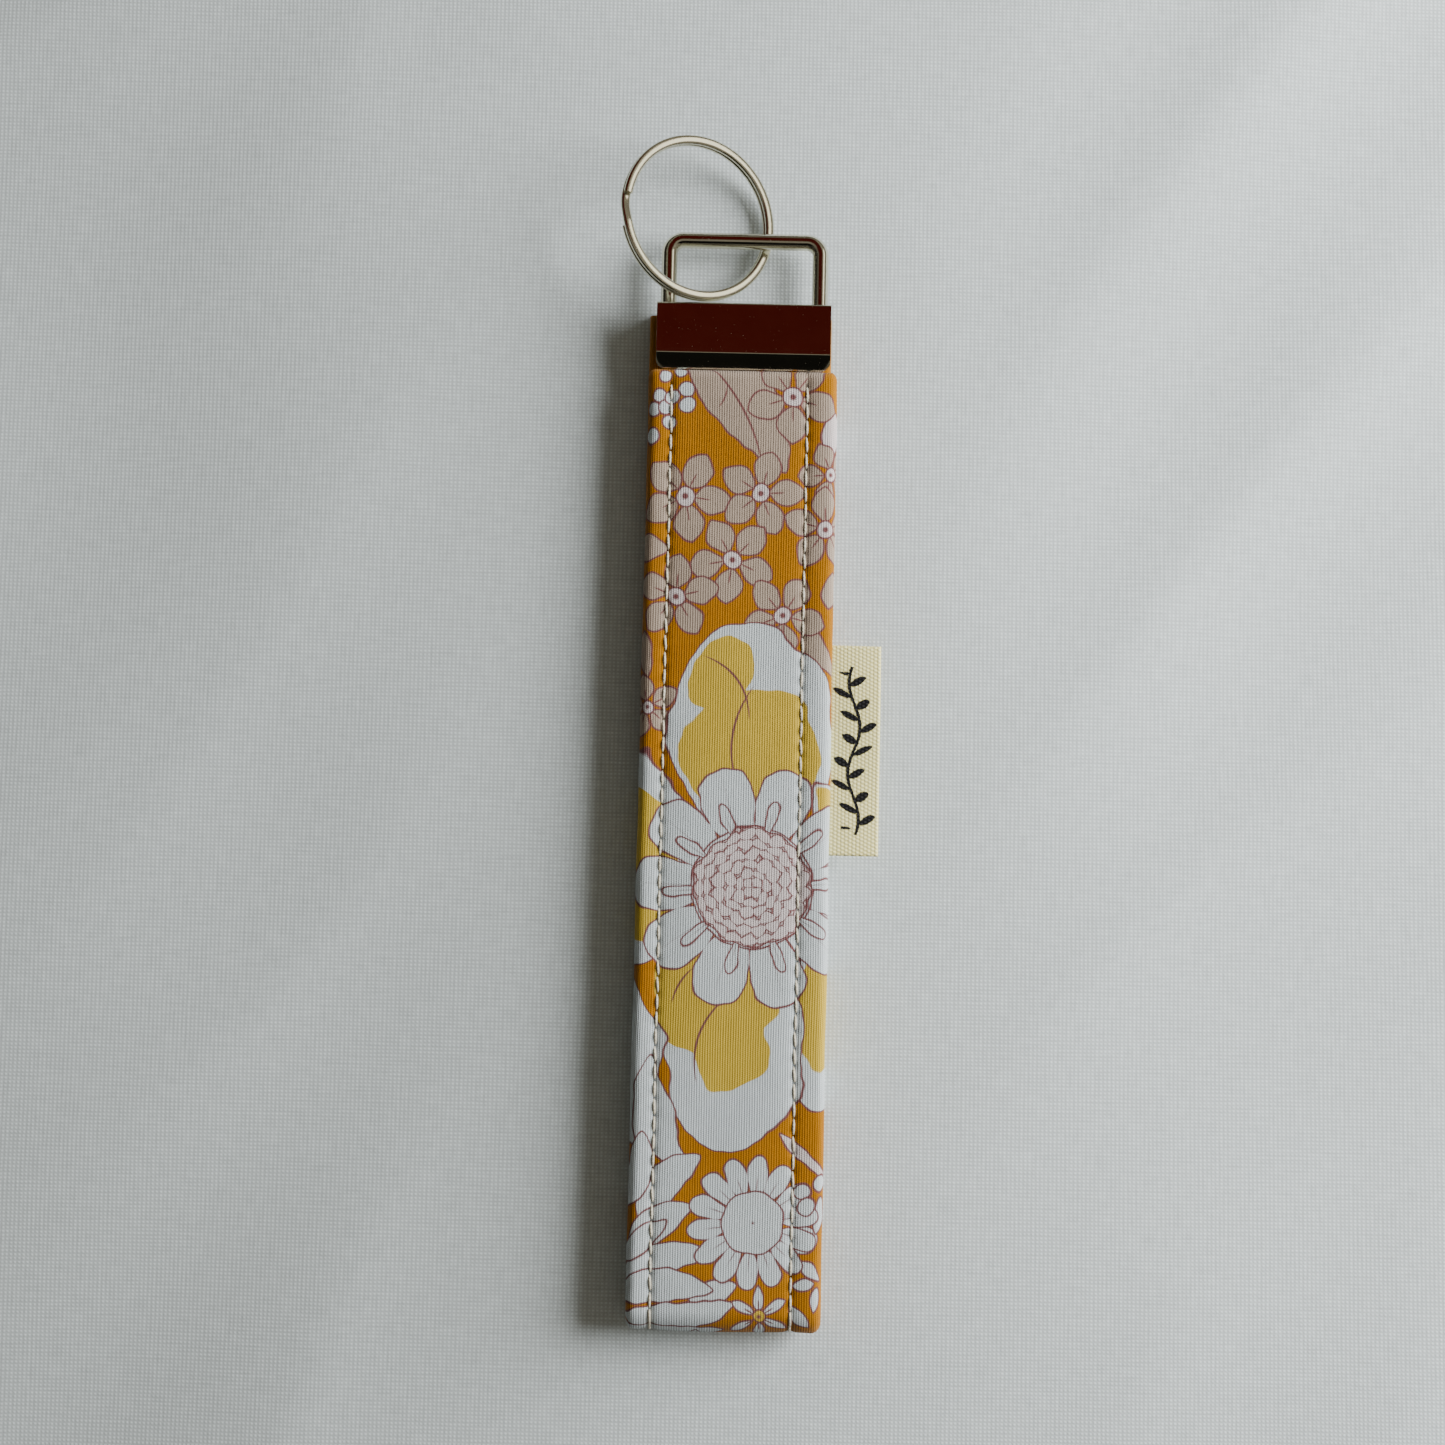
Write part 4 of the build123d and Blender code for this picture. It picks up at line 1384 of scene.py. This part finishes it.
r.plug(shader.inputs["Roughness"], r.fit(yarn, 0.2, 0.6))
shader.inputs["Sheen Weight"].default_value = 0.15
shader.inputs["Specular IOR Level"].default_value = 0.3
raised = r.fit(in_sprig, 0.7, knot)
r.plug(shader.inputs["Normal"], r.bump(raised, 0.00009, 0.8))
print("tape:", len(tape.node_tree.nodes), "nodes")


# %% Label
def label_mesh():
    """A thin closed sheet with a map in millimetres."""
    across_count, along_count = 44, 78
    build = bmesh.new()
    layer = build.loops.layers.uv.new("ClothMap")
    places = {}
    for side in (1, -1):
        for i in range(across_count + 1):
            for j in range(along_count + 1):
                x = LABEL_INNER_X + (LABEL_OUTER_X - LABEL_INNER_X) * i / across_count
                y = (j / along_count - 0.5) * (label_high.y - label_low.y)
                free = max(0.0, (x - HALF_WIDTH - 0.6) / (LABEL_OUTER_X - HALF_WIDTH))
                lift = 0.20 * free * math.sin(y * 0.19 + 0.7) - 0.35 * free * free
                rib = 0.03 * math.sin(x * math.tau / 0.67) * min(1.0, free * 8)
                thick = LABEL_THICKNESS / 2 + (rib if 0 < i < across_count else -0.05)
                place = Vector((x, LABEL_MIDDLE_Y + y, LABEL_Z + lift + side * thick))
                places[side, i, j] = (build.verts.new(place * MM), (x, y))

    def face(corners):
        made = build.faces.new([places[c][0] for c in corners])
        made.smooth = True
        for loop, corner in zip(made.loops, corners):
            loop[layer].uv = places[corner][1]

    for i in range(across_count):
        for j in range(along_count):
            face([(1, i, j), (1, i + 1, j), (1, i + 1, j + 1), (1, i, j + 1)])
            face([(-1, i, j + 1), (-1, i + 1, j + 1), (-1, i + 1, j), (-1, i, j)])
        face([(-1, i, 0), (-1, i + 1, 0), (1, i + 1, 0), (1, i, 0)])
        face([(1, i, along_count), (1, i + 1, along_count), (-1, i + 1, along_count),
              (-1, i, along_count)])
    for j in range(along_count):
        face([(1, 0, j), (1, 0, j + 1), (-1, 0, j + 1), (-1, 0, j)])
        face([(-1, across_count, j), (-1, across_count, j + 1), (1, across_count, j + 1),
              (1, across_count, j)])
    return closed_piece(build, "woven_label", tape)


label = label_mesh()
bend_along(label)
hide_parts("label_sewn_in", "label_flap")

# %% [markdown]
# ## What it lies on
# The fob lies on a pale cotton sheet. The sheet is wide enough for every view, its weave is
# drawn in the material, and its few soft creases are real waves of a millimetre or less,
# faded out under the fob so that nothing floats or sinks.

# %% Pale sheet
CLEARANCE = 0.2  # mm below the fob, whose soft underside sags a little
sheet_size = 1600
steps = 260
floor_mesh = bpy.data.meshes.new("pale_sheet")
build = bmesh.new()
grid = []
for i in range(steps + 1):
    line = []
    for j in range(steps + 1):
        s, t = 2 * i / steps - 1, 2 * j / steps - 1
        x = sheet_size * s * (0.16 + 0.84 * s * s)
        y = sheet_size * t * (0.16 + 0.84 * t * t) - 57.0
        away = max(abs(x) - 22, abs(y + 57) - 96, 0.0)
        fade = 1 - math.exp(-((away / 40) ** 2))
        crease = noise.noise(Vector((x * 0.010 + y * 0.004, y * 0.0075 - x * 0.003, 2.0)))
        fold_line = noise.noise(Vector((x * 0.022 - y * 0.016, x * 0.004 + y * 0.006, 9.0)))
        height = fade * (2.2 * crease + 1.1 * (1 - abs(fold_line) * 2.2) - 1.0)
        line.append(build.verts.new(Vector((x, y, min(height, 0.6 * fade) - CLEARANCE)) * MM))
    grid.append(line)
for i in range(steps):
    for j in range(steps):
        corners = (grid[i][j], grid[i + 1][j], grid[i + 1][j + 1], grid[i][j + 1])
        build.faces.new(corners).smooth = True
build.to_mesh(floor_mesh)
build.free()
floor = linked("pale_sheet", floor_mesh)

linen, r, shader = new_material("pale_sheet_cotton")
position = r.add("ShaderNodeTexCoord").outputs["Object"]
x, y, _ = r.split(position)
warp = r.fit(r.math("SINE", r.times(x, math.tau / 0.00062)), 0.5, 0.5)
weft = r.fit(r.math("SINE", r.times(y, math.tau / 0.00056)), 0.5, 0.5)
threads = r.times(warp, weft)
slubs = r.noise(r.stretch(position, (260.0, 2100.0, 1.0)), 1.0, 3.0, 0.6)
slubs = r.plus(slubs, r.noise(r.stretch(position, (2100.0, 260.0, 1.0)), 1.0, 3.0, 0.6))
tone = r.fit(threads, 0.30, 0.83)
tone = r.times(tone, r.fit(slubs, 0.36, 0.68))
tone = r.times(tone, r.fit(r.noise(position, 9.0, 3.0), 0.08, 0.96))
# Painted shade: the sheet's colour is darker towards its left, away from the window light.
painted_left_shade = r.math("MINIMUM", r.fit(x, 0.6, 0.955), 1.02)
tone = r.times(tone, r.math("MAXIMUM", painted_left_shade, 0.86))
r.plug(shader.inputs["Base Color"], r.darken((0.672, 0.72, 0.722, 1.0), tone))
shader.inputs["Roughness"].default_value = 0.9
shader.inputs["Sheen Weight"].default_value = 0.1
r.plug(shader.inputs["Normal"], r.bump(threads, 0.00006, 0.5))
floor_mesh.materials.append(linen)
print("sheet laid,", len(floor_mesh.polygons), "faces")

# %% [markdown]
# ## Light
# One wide soft light stands to the right and a little behind, like a window, so the strap's
# left side falls into shade. A grey room fills in, darker towards its walls than its ceiling.
# Metal shows what is round it, so cards hang out of sight: a deep red one that the flat of
# the clamp sees, a black one for its lip, and a bright pane for the ring. They touch
# nothing but the gloss.

# %% Lights and cards
key_data = bpy.data.lights.new("window", "AREA")
key_data.shape = "RECTANGLE"
key_data.size = 0.46
key_data.size_y = 0.50
key_data.energy = 15.2  # watts
key_data.color = (0.965, 0.99, 1.0)
key = linked("window", key_data)
key.location = (0.58, 0.12, 0.25)
key.rotation_euler = (Vector((0.0, -0.05, 0.0)) - key.location).to_track_quat("-Z", "Y").to_euler()
key.visible_glossy = False

world = bpy.data.worlds.new("soft grey room")
bpy.context.scene.world = world
world.use_nodes = True
w = Recipe(world.node_tree)
direction = w.add("ShaderNodeTexCoord").outputs["Generated"]
toward_x, toward_y, up = w.split(direction)
overhead = w.fit(w.math("MAXIMUM", up, 0.0), 0.18, 0.032)
bright = w.fit(toward_x, 0.13, overhead)
bright = w.math("MAXIMUM", w.fit(toward_y, 0.03, bright), 0.02)
background = world.node_tree.nodes["Background"]
w.plug(background.inputs[0], w.add("ShaderNodeCombineColor", w.times(bright, 1.08),
                                   bright, w.times(bright, 0.82)).outputs[0])


def card(name, colour, corners):
    """A flat card that only glossy surfaces see, between four corners in millimetres."""
    mesh = bpy.data.meshes.new(name)
    mesh.from_pydata([tuple(Vector(corner) * MM) for corner in corners], [], [(3, 2, 1, 0)])
    piece = linked(name, mesh)
    material = bpy.data.materials.new(name)
    material.use_nodes = True
    nodes = material.node_tree.nodes
    nodes.clear()
    glow = nodes.new("ShaderNodeEmission")
    glow.inputs["Color"].default_value = (*colour, 1.0)
    output = nodes.new("ShaderNodeOutputMaterial")
    material.node_tree.links.new(glow.outputs[0], output.inputs["Surface"])
    mesh.materials.append(material)
    for ray in ("camera", "diffuse", "shadow", "transmission", "volume_scatter"):
        setattr(piece, "visible_" + ray, False)
    return piece


card("deep_red_card", (0.058, 0.005, 0.003),
     [(-150, 22, 305), (150, 22, 305), (150, 420, 305), (-150, 420, 305)])
card("black_card", (0.006, 0.006, 0.005),
     [(-200, -420, 300), (200, -420, 300), (200, -105, 300), (-200, -105, 300)])
card("window_pane", (2.3, 2.2, 1.85),
     [(600, 120, 400), (600, 460, 400), (600, 460, 610), (600, 120, 610)])
print("window and three cards set")
